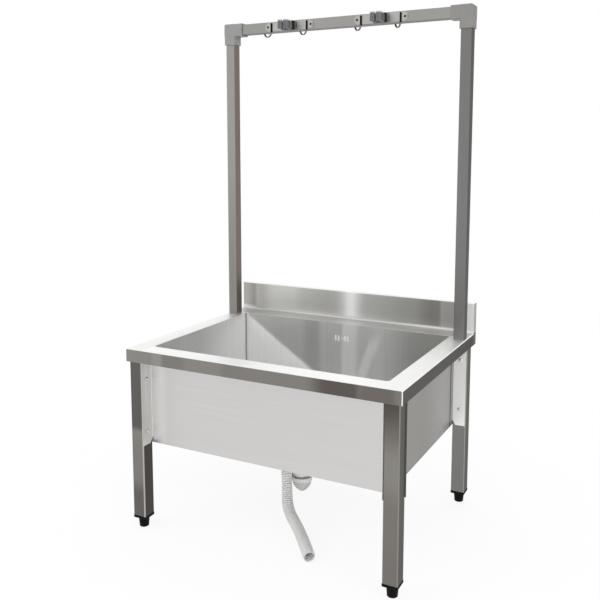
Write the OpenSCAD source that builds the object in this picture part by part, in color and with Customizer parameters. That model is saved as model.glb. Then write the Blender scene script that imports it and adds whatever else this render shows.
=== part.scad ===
// Free-standing stainless mop sink: a deep welded bowl in a folded deck, on a bolted
// frame of square legs and skirt panels, with a tool rack over it and a waste kit under it.
// Millimetres, +Z up, +X to the user's right, -Y towards the user, floor at Z = 0.

/* [Deck] */
// Width of the deck, left to right
deck_w = 900; // [800:10:1200]
// Depth of the deck, front to back
deck_d = 710; // [620:10:900]
// Height of the deck's top face above the floor
deck_h = 580; // [540:10:680]
// Thickness of the deck sheet
deck_t = 1.2; // [0.8:0.1:1.5]
// Height of the folded edge
fold_h = 40; // [30:1:50]
// Outer radius of the folds
fold_r = 2.5; // [1.6:0.1:4]
// Height of the backsplash above the deck
splash_h = 100; // [60:5:150]
// Depth of the backsplash's box fold
splash_d = 20; // [16:1:40]
// Drop of the hem behind the backsplash
splash_hem = 22; // [12:1:40]
// Radius of the cove between deck and backsplash
cove_r = 8; // [4:1:12]

/* [Bowl] */
// Rim between the deck's front or side edge and the bowl
rim_w = 60; // [58:1:90]
// Rim between the deck's rear edge and the bowl
rim_rear = 95; // [80:1:120]
// Depth of the bowl at its walls
bowl_depth = 250; // [200:10:290]
// Thickness of the bowl sheet
bowl_t = 1; // [0.8:0.1:1.5]
// Inner radius of the bowl's corners
bowl_r = 12; // [8:1:30]
// Fall of the bowl floor towards the drain
bowl_fall = 8; // [4:1:14]
// Drain centre, sideways from the middle of the deck
drain_x = -9; // [-60:1:60]
// Drain centre, from the middle of the deck towards the rear
drain_y = -26; // [-60:1:40]
// Depth of the overflow slots' middle below the deck
over_drop = 54; // [45:1:80]
// Length of an overflow slot
slot_l = 19; // [10:1:24]
// Width of an overflow slot
slot_w = 4; // [3:0.5:6]
// Spacing of the overflow slots
slot_pitch = 11.5; // [8:0.5:14]

/* [Frame] */
// Side of a leg's square tube
leg_s = 45; // [38:1:48]
// Wall of a leg's tube
leg_t = 1.5; // [1:0.1:2]
// Outer corner radius of a leg's tube
leg_r = 3; // [2:0.5:5]
// Inset of the legs from the deck's front and side edges
leg_inset = 8; // [5:1:11]
// Inset of the rear legs from the deck's rear edge
leg_rear = 24; // [14:1:40]
// Thickness of the skirt sheet
skirt_t = 1.2; // [0.8:0.1:1.5]
// Height of the skirt's lower edge above the floor
skirt_low = 273; // [235:1:305]
// Width of the skirt's folded edges: the lower turned in, the upper turned out
skirt_hem = 11; // [8:0.5:11.5]
// Width of the flanges that wrap the front legs
flange_w = 48; // [30:1:49]
// Width of the side skirts' rear flanges
flange_rear = 42; // [30:1:43]
// Height of the lower bolts above the skirt's lower edge
bolt_low = 56; // [35:1:90]
// Spacing of the two bolts of a flange
bolt_pitch = 168; // [120:1:190]
// Height that the front and rear flanges' bolts are set lower by
bolt_stagger = 14; // [12:1:20]
// Thread diameter of the skirt bolts
bolt_d = 6; // [5:1:8]

/* [Feet] */
// Height of a leg's end above the floor
leg_clear = 40; // [35:1:70]
// Thickness of the plastic cap under a leg
cap_h = 9; // [5:1:12]
// Overhang of the cap past the leg
cap_over = 1; // [0.5:0.5:2]
// Height of the cap's plug inside the leg
plug_h = 32; // [25:1:45]
// Upper diameter of a foot
foot_top_d = 34; // [28:1:38]
// Lower diameter of a foot
foot_low_d = 30; // [24:1:36]
// Diameter of a foot's threaded stem
stem_d = 10; // [8:1:12]
// Length of a foot's stem above its head
stem_l = 46; // [40:1:50]

/* [Rack] */
// Height of the rack's top above the floor
rack_h = 1630; // [1400:10:1800]
// Side of the posts' and the crossbar's tube
post_s = 35; // [28:1:38]
// Wall of the posts' and the crossbar's tube
post_t = 1.5; // [1:0.1:2]
// Distance from the deck's side edge to a post
post_edge = 4; // [3:1:12]
// Distance from the deck's rear edge to a post
post_rear = 96; // [60:1:110]
// Wall of the corner connectors
elbow_t = 4; // [3:0.5:6]
// Length of a corner connector's arms, outside
elbow_l = 72; // [60:1:90]
// Radius on a corner connector's outer corner
elbow_r = 7; // [4:1:12]
// Height of the welded stubs inside the posts
stub_h = 60; // [40:5:100]

/* [Tool rails] */
// Length of a tool rail's plate
rail_l = 185; // [175:5:220]
// Height of a tool rail's plate
rail_w = 30; // [27:1:32]
// Thickness of a tool rail's plate
rail_t = 1.5; // [1:0.1:3]
// Left rail's middle, from the middle of the rack
rail_left_x = -189; // [-210:1:-130]
// Right rail's middle, from the middle of the rack
rail_right_x = 147; // [120:1:210]
// Spacing of a rail's two hooks
hook_pitch = 137; // [120:1:145]
// Width of a hook's strip
hook_w = 6; // [4:0.5:9]
// Thickness of a hook's strip
hook_t = 2.5; // [1.5:0.1:3.5]
// Radius of a hook's bend
hook_r = 28; // [20:1:32]
// Spacing of a rail's two screws
screw_pitch = 166; // [158:1:168]

/* [Tool clips] */
// Width of the clip's base
clip_w = 46; // [44:1:56]
// Spacing of the two jaw pins
pin_pitch = 26; // [24:1:28]
// Diameter of a jaw pin
pin_d = 3; // [2:0.5:4]
// Distance from the rail plate to the jaw pins
pin_out = 13; // [12:0.5:16]
// Reach of the jaws from the rail plate
jaw_out = 50; // [46:1:60]
// Width of a jaw
jaw_w = 15.5; // [14:0.5:17]
// Gap between the jaws' tips
jaw_gap = 5; // [3:0.5:8]
// Radius of the handle seat between the jaws
grip_r = 12; // [9:0.5:13]

/* [Waste] */
// Diameter of the bowl's drain hole
drain_d = 50; // [44:1:54]
// Diameter of the waste's flanges
flange_d = 72; // [68:1:80]
// Outer diameter of the waste's barrel
barrel_d = 46; // [40:1:48]
// Drop from the bowl's drain to the trap's lowest point
trap_drop = 241; // [232:1:250]
// Outer diameter of the trap's cup
cup_d = 60; // [56:1:66]
// Drop from the bowl's drain to the trap's outlet
outlet_drop = 128; // [118:1:136]
// Distance from the trap's axis to the elbow's corner
outlet_out = 53; // [51:1:57]
// Outer diameter of the trap's outlet pipe and of the elbow
pipe_d = 30; // [28:1:32]

/* [Drain hose] */
// Outer diameter of the drain hose over its ribs
hose_d = 36; // [31:1:38]
// Bore of the drain hose
hose_bore = 29; // [26:1:30]
// Spacing of the ribs of both hoses
rib_pitch = 6.4; // [5:0.2:8]
// Outer diameter of the overflow hose over its ribs
over_d = 22; // [18:1:24]

/* [Hidden] */

// Running clearance between pieces that move, and gap between pieces that only seat
run = 0.08;
seat = 0.15;
eps = 0.01;
// How far a sheet's bend laps into the flat that it grows from
lap = 1;
$fn = 48;

// Places that follow from the sizes above
deck_low = deck_h - deck_t;
splash_y = deck_d / 2 - splash_d;
bowl_w = deck_w - 2 * rim_w;
bowl_d = deck_d - rim_w - rim_rear;
bowl_y = (rim_w - rim_rear) / 2;
bowl_back = bowl_y + bowl_d / 2;
floor_h = deck_h - bowl_depth;
drain_h = floor_h - bowl_fall;
over_h = deck_h - over_drop;
leg_x = deck_w / 2 - leg_inset - leg_s / 2;
leg_front_y = -deck_d / 2 + leg_inset + leg_s / 2;
leg_rear_y = deck_d / 2 - leg_rear - leg_s / 2;
top_cap_t = 2.2;
leg_top = deck_low - top_cap_t;
bolt_side_h = [skirt_low + bolt_low, skirt_low + bolt_low + bolt_pitch];
bolt_end_h = [for (h = bolt_side_h) h - bolt_stagger];
nut_d = bolt_d + 3;
nut_l = 13;
foot_head = leg_clear - cap_h;
stem_bore = stem_d + 2 * run;
elbow_s = post_s + 2 * elbow_t;
post_x = deck_w / 2 - post_edge - post_s / 2;
post_y = deck_d / 2 - post_rear - post_s / 2;
bar_h = rack_h - elbow_s / 2;
stop_in = elbow_s;
rail_y = post_y - post_s / 2 - rail_t;
clip_h = rail_w;
ear_t = 3;
base_t = 5;
pin_y = rail_y - pin_out;
eye_d = 11;
spring_h = 4;
grip_y = rail_y - pin_out - 21;
gasket_t = 2;
over_w = 66;
over_z = 36;
body_top = drain_h - bowl_t - gasket_t;
body_h = 62;
body_low = body_top - body_h;
inlet_h = body_low + 28;
inlet_l = barrel_d / 2 + 34;
dip_r = barrel_d / 2 - 3.4;
trap_low = drain_h - trap_drop;
outlet_h = drain_h - outlet_drop;
cup_h = cup_d * 0.64;
ring_low = trap_low + cup_h;
shell_r = cup_d / 2 + 1;
ring_h = 20;
turn = 36;
tilt = 22.5;
leg_out = 30;
joint_out = (shell_r + outlet_out - pipe_d / 2) / 2;
out_dir = [-cos(turn), -sin(turn), 0];
down_dir = [sin(turn) * sin(tilt), -cos(turn) * sin(tilt), -cos(tilt)];
elbow_at = [drain_x, drain_y, outlet_h] + outlet_out * out_dir;
hose_start = elbow_at + (leg_out + seat) * down_dir;
over_y = bowl_back + bowl_t + gasket_t + 12;
over_bore = over_d - 6;

// The drain hose's route from the elbow's end to its open end near the floor: two straight
// stretches, then points as [x and y from the drain, share of the fall that is left]
hose_end_h = hose_d / 2 + 2.5;
hose_fall = hose_start[2] - hose_end_h;
hose_bends = [
    [-23.3, -59.3, 0.640], [-17.8, -68.7, 0.520], [-11.1, -79.8, 0.419], [-2.4, -91.9, 0.333],
    [9.0, -103.9, 0.262], [22.6, -115.8, 0.203], [37.5, -127.6, 0.159], [52.5, -140.1, 0.127],
    [66.8, -153.9, 0.105], [80.3, -168.6, 0.091], [93.5, -183.7, 0.081], [106.6, -199.0, 0.073],
    [119.7, -214.2, 0.063], [132.6, -229.5, 0.049], [145.5, -244.6, 0.028], [158.7, -259.3, 0.000]
];
drain_route = concat(
    [for (u = [0, 0.117, 0.247]) hose_start + u * hose_fall * down_dir],
    [for (b = hose_bends) [drain_x + b[0], drain_y + b[1], hose_end_h + b[2] * hose_fall]]
);

// The overflow hose's route from the housing's spigot down and forward to the waste's inlet
over_end = over_h - 34;
over_bend = 62;
over_route = concat(
    [for (z = [over_end - seat:-24:inlet_h + over_bend + 12]) [0, over_y, z]],
    [for (a = [0:12:90]) [
        drain_x * (1 - cos(a)) * 0.25,
        over_y - over_bend * (1 - cos(a)),
        inlet_h + over_bend * (1 - sin(a))
    ]],
    [for (k = [1:8]) let (u = k / 8, e = u * u * (3 - 2 * u)) [
        drain_x * (0.25 + 0.75 * e),
        (over_y - over_bend) * (1 - u) + (drain_y + inlet_l + seat) * u,
        inlet_h
    ]]
);

// A rounded rectangle about the origin
module rounded(w, d, r) {
    square([w - 2 * r, d], center = true);
    square([w, d - 2 * r], center = true);
    for (x = [-1, 1], y = [-1, 1]) translate([x * (w / 2 - r), y * (d / 2 - r)]) circle(r);
}

// A rounded square tube standing on z = 0
module tube(s, t, r, h) {
    linear_extrude(h) difference() {
        rounded(s, s, r);
        rounded(s - 2 * t, s - 2 * t, max(r - t, 0.4));
    }
}

// An outline whose lower corners have the radius r
module dish(w, h, r) {
    translate([-w / 2, r]) square([w, h - r]);
    translate([-w / 2 + r, 0]) square([w - 2 * r, h]);
    for (x = [-1, 1]) translate([x * (w / 2 - r), r]) circle(r);
}

// A pan on z = 0 with corner radius rv and lower edge radius re
module pan(w, d, h, rv, re) {
    intersection() {
        linear_extrude(h) rounded(w, d, rv);
        rotate([90, 0, 0]) translate([0, 0, -d / 2 - 1]) linear_extrude(d + 2) dish(w, h + 1, re);
        rotate([90, 0, 90]) translate([0, 0, -w / 2 - 1]) linear_extrude(w + 2) dish(d, h + 1, re);
    }
}

// A quarter of a bent strip, centred on the bend's axis, in the quadrant x < 0, y < 0 turned by a
module bend(r, t, a) {
    rotate(a) intersection() {
        difference() {
            circle(r + t);
            circle(r);
        }
        translate([-r - t, -r - t]) square(r + t);
    }
}

// Lays an outline of (Y, Z) points along X from x0 to x1
module along_x(x0, x1) {
    translate([x0, 0, 0]) rotate([90, 0, 90]) linear_extrude(x1 - x0) children();
}

// Lays an outline of (X, Z) points along Y from y0 to y1
module along_y(y0, y1) {
    translate([0, y1, 0]) rotate([90, 0, 0]) linear_extrude(y1 - y0) children();
}

// A smooth curve through points, sampled about every step
function cat(p, i, t) =
    let (a = p[max(i - 1, 0)], b = p[i], c = p[i + 1], d = p[min(i + 2, len(p) - 1)])
    0.5 * (2 * b + (c - a) * t + (2 * a - 5 * b + 4 * c - d) * t * t
        + (3 * b - a - 3 * c + d) * t * t * t);
function fine(p, n = 6) = concat(
    [for (i = [0:len(p) - 2], k = [0:n - 1]) cat(p, i, k / n)], [p[len(p) - 1]]);
function sums(p) = [for (i = 0, s = 0; i < len(p); s = s + (i < len(p) - 1 ? norm(p[i + 1] - p[i]) : 0),
    i = i + 1) s];
function pick(p, s, at) =
    let (i = min(max(len([for (v = s) if (v <= at) 1]) - 1, 0), len(p) - 2))
    p[i] + (p[i + 1] - p[i]) * (at - s[i]) / (s[i + 1] - s[i]);
function unit(v) = v / norm(v);

// A ring of n points about c, square to t, with one axis near side
function ring(c, t, side, r, n) =
    let (b = unit(cross(t, side)), a = cross(b, t))
    [for (k = [0:n - 1]) c + r * (cos(360 * k / n) * a + sin(360 * k / n) * b)];

// Faces of a closed band of rings of n points; the last ring joins the first
function band(m, n) = [for (i = [0:m - 1], k = [0:n - 1])
    let (j = (i + 1) % m, q = (k + 1) % n)
    each [[i * n + k, i * n + q, j * n + q], [i * n + k, j * n + q, j * n + k]]];

// A ribbed hose along a route: crests and roots outside, a plain bore inside
module ribbed_hose(route, d, bore, pitch, side) {
    n = 8;
    p = fine(route);
    s = sums(p);
    total = s[len(s) - 1];
    plain = d / 2;
    ribs = floor((total - 2 * plain) / pitch);
    p0 = (total - ribs * pitch) / 2;
    root = d / 2 - 1.4;
    stops = concat([[0, root], [p0 / 2, root]],
        [for (k = [0:ribs - 1]) each [[p0 + pitch * (k + 0.25), d / 2], [p0 + pitch * (k + 0.75), root]]],
        [[total - p0 / 3, root], [total, root]]);
    cells = max(6, round(total / 24));
    inner = [for (k = [cells:-1:0]) [total * k / cells, bore / 2]];
    all = concat(stops, inner);
    pts = [for (v = all)
        let (h = 0.5, a = pick(p, s, max(v[0] - h, 0)), b = pick(p, s, min(v[0] + h, total)))
        each ring(pick(p, s, v[0]), unit(b - a), side, v[1], n)];
    polyhedron(pts, band(len(all), n), convexity = 6);
}

// Deck with its folded edges, and the backsplash in one sheet with it
module sink_deck() {
    color("gainsboro") {
        difference() {
            translate([0, 0, deck_h]) mirror([0, 0, 1])
                pan(deck_w, deck_d, fold_h, fold_r, fold_r);
            translate([0, 0, deck_low]) mirror([0, 0, 1])
                pan(deck_w - 2 * deck_t, deck_d - 2 * deck_t, fold_h, fold_r - deck_t, fold_r - deck_t);
            translate([-deck_w / 2 - 1, splash_y - cove_r, deck_h - fold_h - 1])
                cube([deck_w + 2, splash_d + cove_r + 1, fold_h + 2]);
            translate([0, bowl_y, deck_h - fold_h]) linear_extrude(fold_h + 1)
                rounded(bowl_w, bowl_d, bowl_r);
        }
        along_x(-deck_w / 2 + deck_t, deck_w / 2 - deck_t) splash_outline();
    }
}

// The backsplash's cove, riser, top and hem, as (Y, Z)
module splash_outline() {
    top = deck_h + splash_h;
    rt = fold_r - deck_t;
    translate([splash_y - cove_r - lap, deck_low]) square([lap, deck_t]);
    translate([splash_y - cove_r, deck_h + cove_r]) bend(cove_r, deck_t, 90);
    translate([splash_y, deck_h + cove_r]) square([deck_t, splash_h - cove_r - fold_r]);
    translate([splash_y + fold_r, top - fold_r]) bend(rt, deck_t, -90);
    translate([splash_y + fold_r, top - deck_t]) square([splash_d - 2 * fold_r, deck_t]);
    translate([deck_d / 2 - fold_r, top - fold_r]) bend(rt, deck_t, 180);
    translate([deck_d / 2 - deck_t, top - splash_hem]) square([deck_t, splash_hem - fold_r]);
}

// The plate that closes one end of the backsplash and the deck's rear corner
module splash_cap(side) {
    x = side > 0 ? deck_w / 2 - deck_t : -deck_w / 2;
    color("silver") along_x(x, x + deck_t) difference() {
        union() {
            translate([splash_y, deck_h - fold_h]) square([splash_d, fold_h + splash_h - fold_r]);
            translate([splash_y + fold_r, deck_h]) square([splash_d - 2 * fold_r, splash_h]);
            for (y = [splash_y + fold_r, deck_d / 2 - fold_r])
                translate([y, deck_h + splash_h - fold_r]) circle(fold_r);
            translate([splash_y - cove_r, deck_h - fold_h]) square([cove_r + 1, fold_h + cove_r]);
        }
        translate([splash_y - cove_r, deck_h + cove_r]) circle(cove_r);
    }
}

// The bowl floor's falls: a shallow pyramid down to a flat seat at the drain
module falls(z) {
    hull() {
        translate([0, bowl_y, z]) linear_extrude(eps)
            square([bowl_w - 2 * bowl_r, bowl_d - 2 * bowl_r], center = true);
        translate([drain_x, drain_y, z - bowl_fall])
            linear_extrude(eps) circle(flange_d / 2 + 4, $fn = 32);
    }
}

// Welded bowl with coved corners, drain hole and overflow slots
module bowl() {
    color("lightgray") difference() {
        union() {
            translate([0, bowl_y, floor_h - bowl_t])
                pan(bowl_w + 2 * bowl_t, bowl_d + 2 * bowl_t, deck_low - floor_h + bowl_t,
                    bowl_r + bowl_t, bowl_r + bowl_t);
            falls(floor_h - bowl_t);
        }
        translate([0, bowl_y, floor_h])
            pan(bowl_w, bowl_d, deck_low - floor_h + 1, bowl_r, bowl_r);
        falls(floor_h);
        translate([drain_x, drain_y, drain_h - bowl_t - 1]) cylinder(d = drain_d, h = bowl_t + 3);
        for (k = [-2, -1, 1, 2]) translate([k * slot_pitch, bowl_back - 1, over_h])
            along_y(0, bowl_t + 2) rounded(slot_w, slot_l, slot_w / 2 - eps);
        translate([0, bowl_back - 1, over_h]) rotate([-90, 0, 0]) cylinder(d = 5.4, h = bowl_t + 2);
    }
}

// One skirt: a plate with a hem top and bottom and a flange at each end.
// It is drawn with its outer face on y = 0, facing -y, between x = -l/2 and l/2.
module skirt_sheet(l, f0, f1, hole0, hole1, heights) {
    h = deck_low - skirt_low;
    hem_l = l - 2 * skirt_hem - 6;
    difference() {
        union() {
            translate([-l / 2, 0, skirt_low]) cube([l, skirt_t, h]);
            translate([-hem_l / 2, 0, skirt_low]) cube([hem_l, skirt_hem + skirt_t, skirt_t]);
            translate([-hem_l / 2, -skirt_hem, deck_low - skirt_t])
                cube([hem_l, skirt_hem + skirt_t, skirt_t]);
            for (e = [[-l / 2, f0], [l / 2 - skirt_t, f1]])
                along_x(e[0], e[0] + skirt_t) polygon([
                    [skirt_t, skirt_low], [skirt_t, deck_low], [-e[1], deck_low],
                    [-e[1], skirt_low], [-10, skirt_low], [0, skirt_low + 18], [0, skirt_low]
                ]);
        }
        for (e = [[-l / 2, hole0], [l / 2 - skirt_t, hole1]], z = heights)
            translate([e[0] - 1, -e[1], z]) rotate([0, 90, 0])
                cylinder(d = bolt_d + 0.6, h = skirt_t + 2);
    }
}

module skirt_front() {
    color("lightgray") translate([0, leg_front_y + leg_s / 2 - skirt_t - seat, 0])
        skirt_sheet(2 * leg_x - leg_s, flange_w - skirt_t - seat, flange_w - skirt_t - seat,
            leg_s / 2 - skirt_t - seat, leg_s / 2 - skirt_t - seat, bolt_end_h);
}

module skirt_rear() {
    color("darkgray") translate([0, leg_rear_y + leg_s / 2 - skirt_t - seat, 0])
        skirt_sheet(2 * leg_x - leg_s, flange_rear, flange_rear,
            leg_s / 2 - skirt_t - seat, leg_s / 2 - skirt_t - seat, bolt_end_h);
}

// A side skirt, seen from its own outside: f0 is the flange at its front leg for the right one
module skirt_side(side) {
    l = leg_rear_y - leg_front_y - leg_s;
    front = side > 0 ? flange_w : flange_rear;
    rear = side > 0 ? flange_rear : flange_w;
    color("darkgray") translate([side * (leg_x - leg_s / 2), (leg_front_y + leg_rear_y) / 2, 0])
        rotate([0, 0, side * 90])
            skirt_sheet(l, front, rear, leg_s / 2, leg_s / 2, bolt_side_h);
}

// A leg at (x, y); ix and iy point to the faces that carry the flanges
module leg(x, y) {
    ix = x > 0 ? -1 : 1;
    iy = y > 0 ? -1 : 1;
    color("gray") difference() {
        translate([x, y, leg_clear]) tube(leg_s, leg_t, leg_r, leg_top - leg_clear);
        for (z = bolt_end_h) translate([x + ix * leg_s / 2, y, z]) rotate([0, 90, 0])
            cylinder(d = nut_d + 2 * seat, h = 3 * leg_t, center = true);
        for (z = bolt_side_h) translate([x, y + iy * leg_s / 2, z]) rotate([90, 0, 0])
            cylinder(d = nut_d + 2 * seat, h = 3 * leg_t, center = true);
    }
}

// Black plastic end under a leg: a cap, and a ribbed plug inside the tube
module leg_end(x, y) {
    plug_s = leg_s - 2 * leg_t - 2 * seat;
    color("black") translate([x, y, leg_clear]) difference() {
        union() {
            translate([0, 0, -cap_h])
                pan(leg_s + 2 * cap_over, leg_s + 2 * cap_over, cap_h, leg_r + cap_over, 4);
            difference() {
                linear_extrude(plug_h) rounded(plug_s, plug_s, max(leg_r - leg_t, 1));
                for (a = [0:90:270]) rotate(a) translate([5, 5, 2])
                    cube([plug_s / 2 - 7.5, plug_s / 2 - 7.5, plug_h]);
            }
            cylinder(d = stem_d + 7, h = plug_h);
        }
        translate([0, 0, -cap_h - 1]) cylinder(d = stem_bore, h = cap_h + plug_h + 2);
    }
}

// Levelling foot: a tapered head on a threaded stem
module foot(x, y) {
    head = foot_head - seat;
    color("#1c1c1c") translate([x, y, 0]) {
        rotate_extrude() {
            polygon([[0, 0], [foot_low_d / 2 - 3, 0], [foot_low_d / 2 - 3, 3],
                [foot_low_d / 2 - 0.2, 3], [foot_top_d / 2, head - 1.5],
                [foot_top_d / 2 - 1.5, head], [0, head]]);
            intersection() {
                translate([foot_low_d / 2 - 3.1, 3.1]) circle(3.1);
                square([foot_low_d / 2, 4]);
            }
        }
        translate([0, 0, head - 1]) cylinder(d = stem_d, h = stem_l + 1);
    }
}

// Plastic caps in the legs' tops, on which the deck rests
module leg_top_caps() {
    in_s = leg_s - 2 * leg_t - 2 * seat;
    color("#222222") for (x = [-leg_x, leg_x], y = [leg_front_y, leg_rear_y]) translate([x, y, leg_top]) {
        linear_extrude(top_cap_t) rounded(leg_s, leg_s, leg_r);
        translate([0, 0, -14]) linear_extrude(14) difference() {
            rounded(in_s, in_s, 1.5);
            rounded(in_s - 4, in_s - 4, 1);
        }
    }
}

// Places of the skirt bolts: [point on the leg's face, direction out of the leg]
function bolt_places() = concat(
    [for (x = [-1, 1], y = [leg_front_y, leg_rear_y], z = bolt_end_h)
        [[x * (leg_x - leg_s / 2), y, z], [-x, 0, 0]]],
    [for (x = [-1, 1], e = [[leg_front_y, 1], [leg_rear_y, -1]], z = bolt_side_h)
        [[x * leg_x, e[0] + e[1] * leg_s / 2, z], [0, e[1], 0]]]
);

// Turns +Z to one of the two directions along X or Y
module point_to(v) {
    rotate(v[0] != 0 ? [0, 90 * v[0], 0] : [-90 * v[1], 0, 0]) children();
}

module skirt_bolts() {
    head_r = bolt_d * 1.1;
    color("whitesmoke") for (b = bolt_places()) translate(b[0]) point_to(b[1]) {
        translate([0, 0, skirt_t + seat]) rotate_extrude() intersection() {
            translate([0, -head_r * 0.35]) circle(head_r * 1.06);
            square([head_r, head_r * 0.62]);
        }
        translate([0, 0, -10]) cylinder(d = bolt_d - 2 * run, h = skirt_t + seat + 10 + eps);
    }
}

// Blind rivet nuts in the legs' walls
module rivet_nuts() {
    color("goldenrod") for (b = bolt_places()) translate(b[0]) point_to(b[1]) difference() {
        union() {
            translate([0, 0, -nut_l]) cylinder(d = nut_d, h = nut_l);
            translate([0, 0, -leg_t - 3.2 - seat]) cylinder(d = nut_d + 2.4, h = 3.2);
        }
        translate([0, 0, -nut_l - 1]) cylinder(d = bolt_d, h = nut_l + 2);
    }
}

// A rack post on its stub, up into its corner connector
module post(side) {
    color("gray") difference() {
        translate([side * post_x, post_y, deck_h])
            tube(post_s, post_t, 2, rack_h - stop_in - deck_h);
        translate([side * post_x, post_y + post_s / 2, deck_h + stub_h / 2]) rotate([90, 0, 0])
            cylinder(d = 5.4, h = 3 * post_t, center = true);
    }
}

// Short tubes welded on the deck, which the posts slip over
module post_stubs() {
    s = post_s - 2 * post_t - 2 * seat;
    color("silver") for (x = [-post_x, post_x]) difference() {
        translate([x, post_y, deck_h]) tube(s, 2, 2.5, stub_h);
        translate([x, post_y + s / 2, deck_h + stub_h / 2]) rotate([90, 0, 0])
            cylinder(d = 4.2, h = 8, center = true);
    }
}

// A dome-head screw whose head rests on z = 0 and whose shank points to -z
module dome_screw(d, l, head_d, head_h) {
    rotate_extrude() intersection() {
        translate([0, head_h - head_d * 0.62]) circle(head_d * 0.62);
        square([head_d / 2, head_h]);
    }
    translate([0, 0, -l]) cylinder(d = d, h = l + eps);
}

module post_screws() {
    color("silver") for (x = [-post_x, post_x])
        translate([x, post_y + post_s / 2, deck_h + stub_h / 2]) rotate([-90, 0, 0])
            dome_screw(4, 8, 8.5, 2.4);
}

module crossbar() {
    l = 2 * (post_x + elbow_s / 2 - stop_in);
    color("darkgray") difference() {
        translate([-l / 2, post_y, bar_h]) rotate([90, 0, 90]) tube(post_s, post_t, 2, l);
        for (x = [rail_left_x, rail_right_x], e = [-1, 1])
            translate([x + e * screw_pitch / 2, post_y - post_s / 2, bar_h]) rotate([90, 0, 0])
                cylinder(d = 4.2, h = 3 * post_t, center = true);
    }
}

// Moulded corner connector: two sleeves with stops, drawn for the right corner
module corner(side) {
    s = elbow_s;
    bore_s = post_s + 2 * seat;
    color("#8d8e8c") translate([side * post_x, post_y, rack_h - s / 2]) scale([side, 1, 1])
        difference() {
            intersection() {
                union() {
                    translate([0, 0, s / 2 - elbow_l]) linear_extrude(elbow_l) rounded(s, s, 2.5);
                    translate([s / 2 - elbow_l, 0, 0]) rotate([90, 0, 90])
                        linear_extrude(elbow_l) rounded(s, s, 2.5);
                }
                along_y(-s, s) {
                    translate([s / 2 - elbow_l, -s / 2]) square([elbow_l - elbow_r, s]);
                    translate([-s / 2, s / 2 - elbow_l]) square([s, elbow_l - elbow_r]);
                    translate([s / 2 - elbow_r, s / 2 - elbow_r]) circle(elbow_r);
                }
            }
            translate([0, 0, s / 2 - elbow_l - 1]) linear_extrude(elbow_l - s + 1 + seat)
                rounded(bore_s, bore_s, 2);
            translate([s / 2 - elbow_l - 1, 0, 0]) rotate([90, 0, 90])
                linear_extrude(elbow_l - s + 1 + seat) rounded(bore_s, bore_s, 2);
            translate([0, 0, -s / 2 - 1]) linear_extrude(s / 2 + post_s / 2 - 5)
                rounded(post_s - 8, post_s - 8, 3);
        }
}

// A rail's plate with round ends and screw holes, on the crossbar's front face
module rail(x) {
    color("silver") translate([x, rail_y, bar_h]) difference() {
        along_y(0, rail_t) {
            square([rail_l - rail_w, rail_w], center = true);
            for (e = [-1, 1]) translate([e * (rail_l - rail_w) / 2, 0]) circle(rail_w / 2);
        }
        for (e = [-1, 1]) translate([e * screw_pitch / 2, rail_t / 2, 0]) rotate([90, 0, 0])
            cylinder(d = 4.6, h = rail_t + 2, center = true);
    }
}

// A pair of bent strip hooks, welded to a rail
module hooks(x) {
    drop = rail_w / 2 - 4;
    for (e = [-1, 1]) color("dimgray")
        along_x(x + e * hook_pitch / 2 - hook_w / 2, x + e * hook_pitch / 2 + hook_w / 2)
            translate([rail_y, bar_h]) scale([-1, 1]) hook_outline(drop);
}

// The hook's outline in (reach, height): a strap, then an arc that turns out and up
module hook_outline(drop) {
    mid_x = hook_r - 2;
    mid_y = -drop + hook_r * 0.52;
    translate([0, -drop]) square([hook_t, drop + rail_w / 2 - 2]);
    translate([mid_x, mid_y]) difference() {
        circle(hook_r + hook_t / 2);
        circle(hook_r - hook_t / 2);
        polygon([[0, 0], [-2.6 * hook_r, -1.48 * hook_r], [-2.6 * hook_r, 2 * hook_r],
            [3 * hook_r, 2 * hook_r], [3 * hook_r, -2.2 * hook_r]]);
    }
    translate([mid_x, mid_y]) rotate(-36.25) translate([hook_r, 0]) circle(hook_t / 2 + 0.35);
}

module rail_screws() {
    color("silver") for (x = [rail_left_x, rail_right_x], e = [-1, 1])
        translate([x + e * screw_pitch / 2, rail_y, bar_h]) rotate([90, 0, 0])
            dome_screw(4, 9, 8, 2.2);
}

// The clip's base: a back plate with two ears that hold the jaw pins
module clip_base(x) {
    ear_y = rail_y - pin_out - 5.5;
    color("#5f5d60") difference() {
        union() {
            translate([x, 0, bar_h]) along_y(rail_y - base_t, rail_y) rounded(clip_w, clip_h, 2);
            for (z = [-clip_h / 2, clip_h / 2 - ear_t]) translate([x, 0, bar_h + z])
                linear_extrude(ear_t) {
                    translate([-pin_pitch / 2, ear_y]) square([pin_pitch, rail_y - ear_y]);
                    for (e = [-1, 1]) {
                        translate([e * pin_pitch / 2, pin_y]) circle(5.5);
                        translate([e * pin_pitch / 2 - 5.5, pin_y]) square([11, pin_out]);
                    }
                }
        }
        for (e = [-1, 1]) translate([x + e * pin_pitch / 2, pin_y, bar_h - clip_h / 2 - 1])
            cylinder(d = pin_d + 2 * run, h = clip_h + 2);
    }
}

module clip_pins() {
    color("silver") for (x = [rail_left_x, rail_right_x], e = [-1, 1])
        translate([x + e * pin_pitch / 2, pin_y, bar_h - clip_h / 2]) {
            cylinder(d = pin_d, h = clip_h);
            translate([0, 0, clip_h]) cylinder(d = pin_d + 2.4, h = 0.8);
        }
}

// Torsion springs round the pins, under the upper ear
module clip_springs() {
    top = bar_h + clip_h / 2 - ear_t;
    color("silver") for (x = [rail_left_x, rail_right_x], e = [-1, 1])
        translate([x + e * pin_pitch / 2, pin_y, top - spring_h]) difference() {
            cylinder(d = pin_d + 4, h = spring_h);
            translate([0, 0, -1]) cylinder(d = pin_d + 2 * run, h = spring_h + 2);
        }
}

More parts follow.
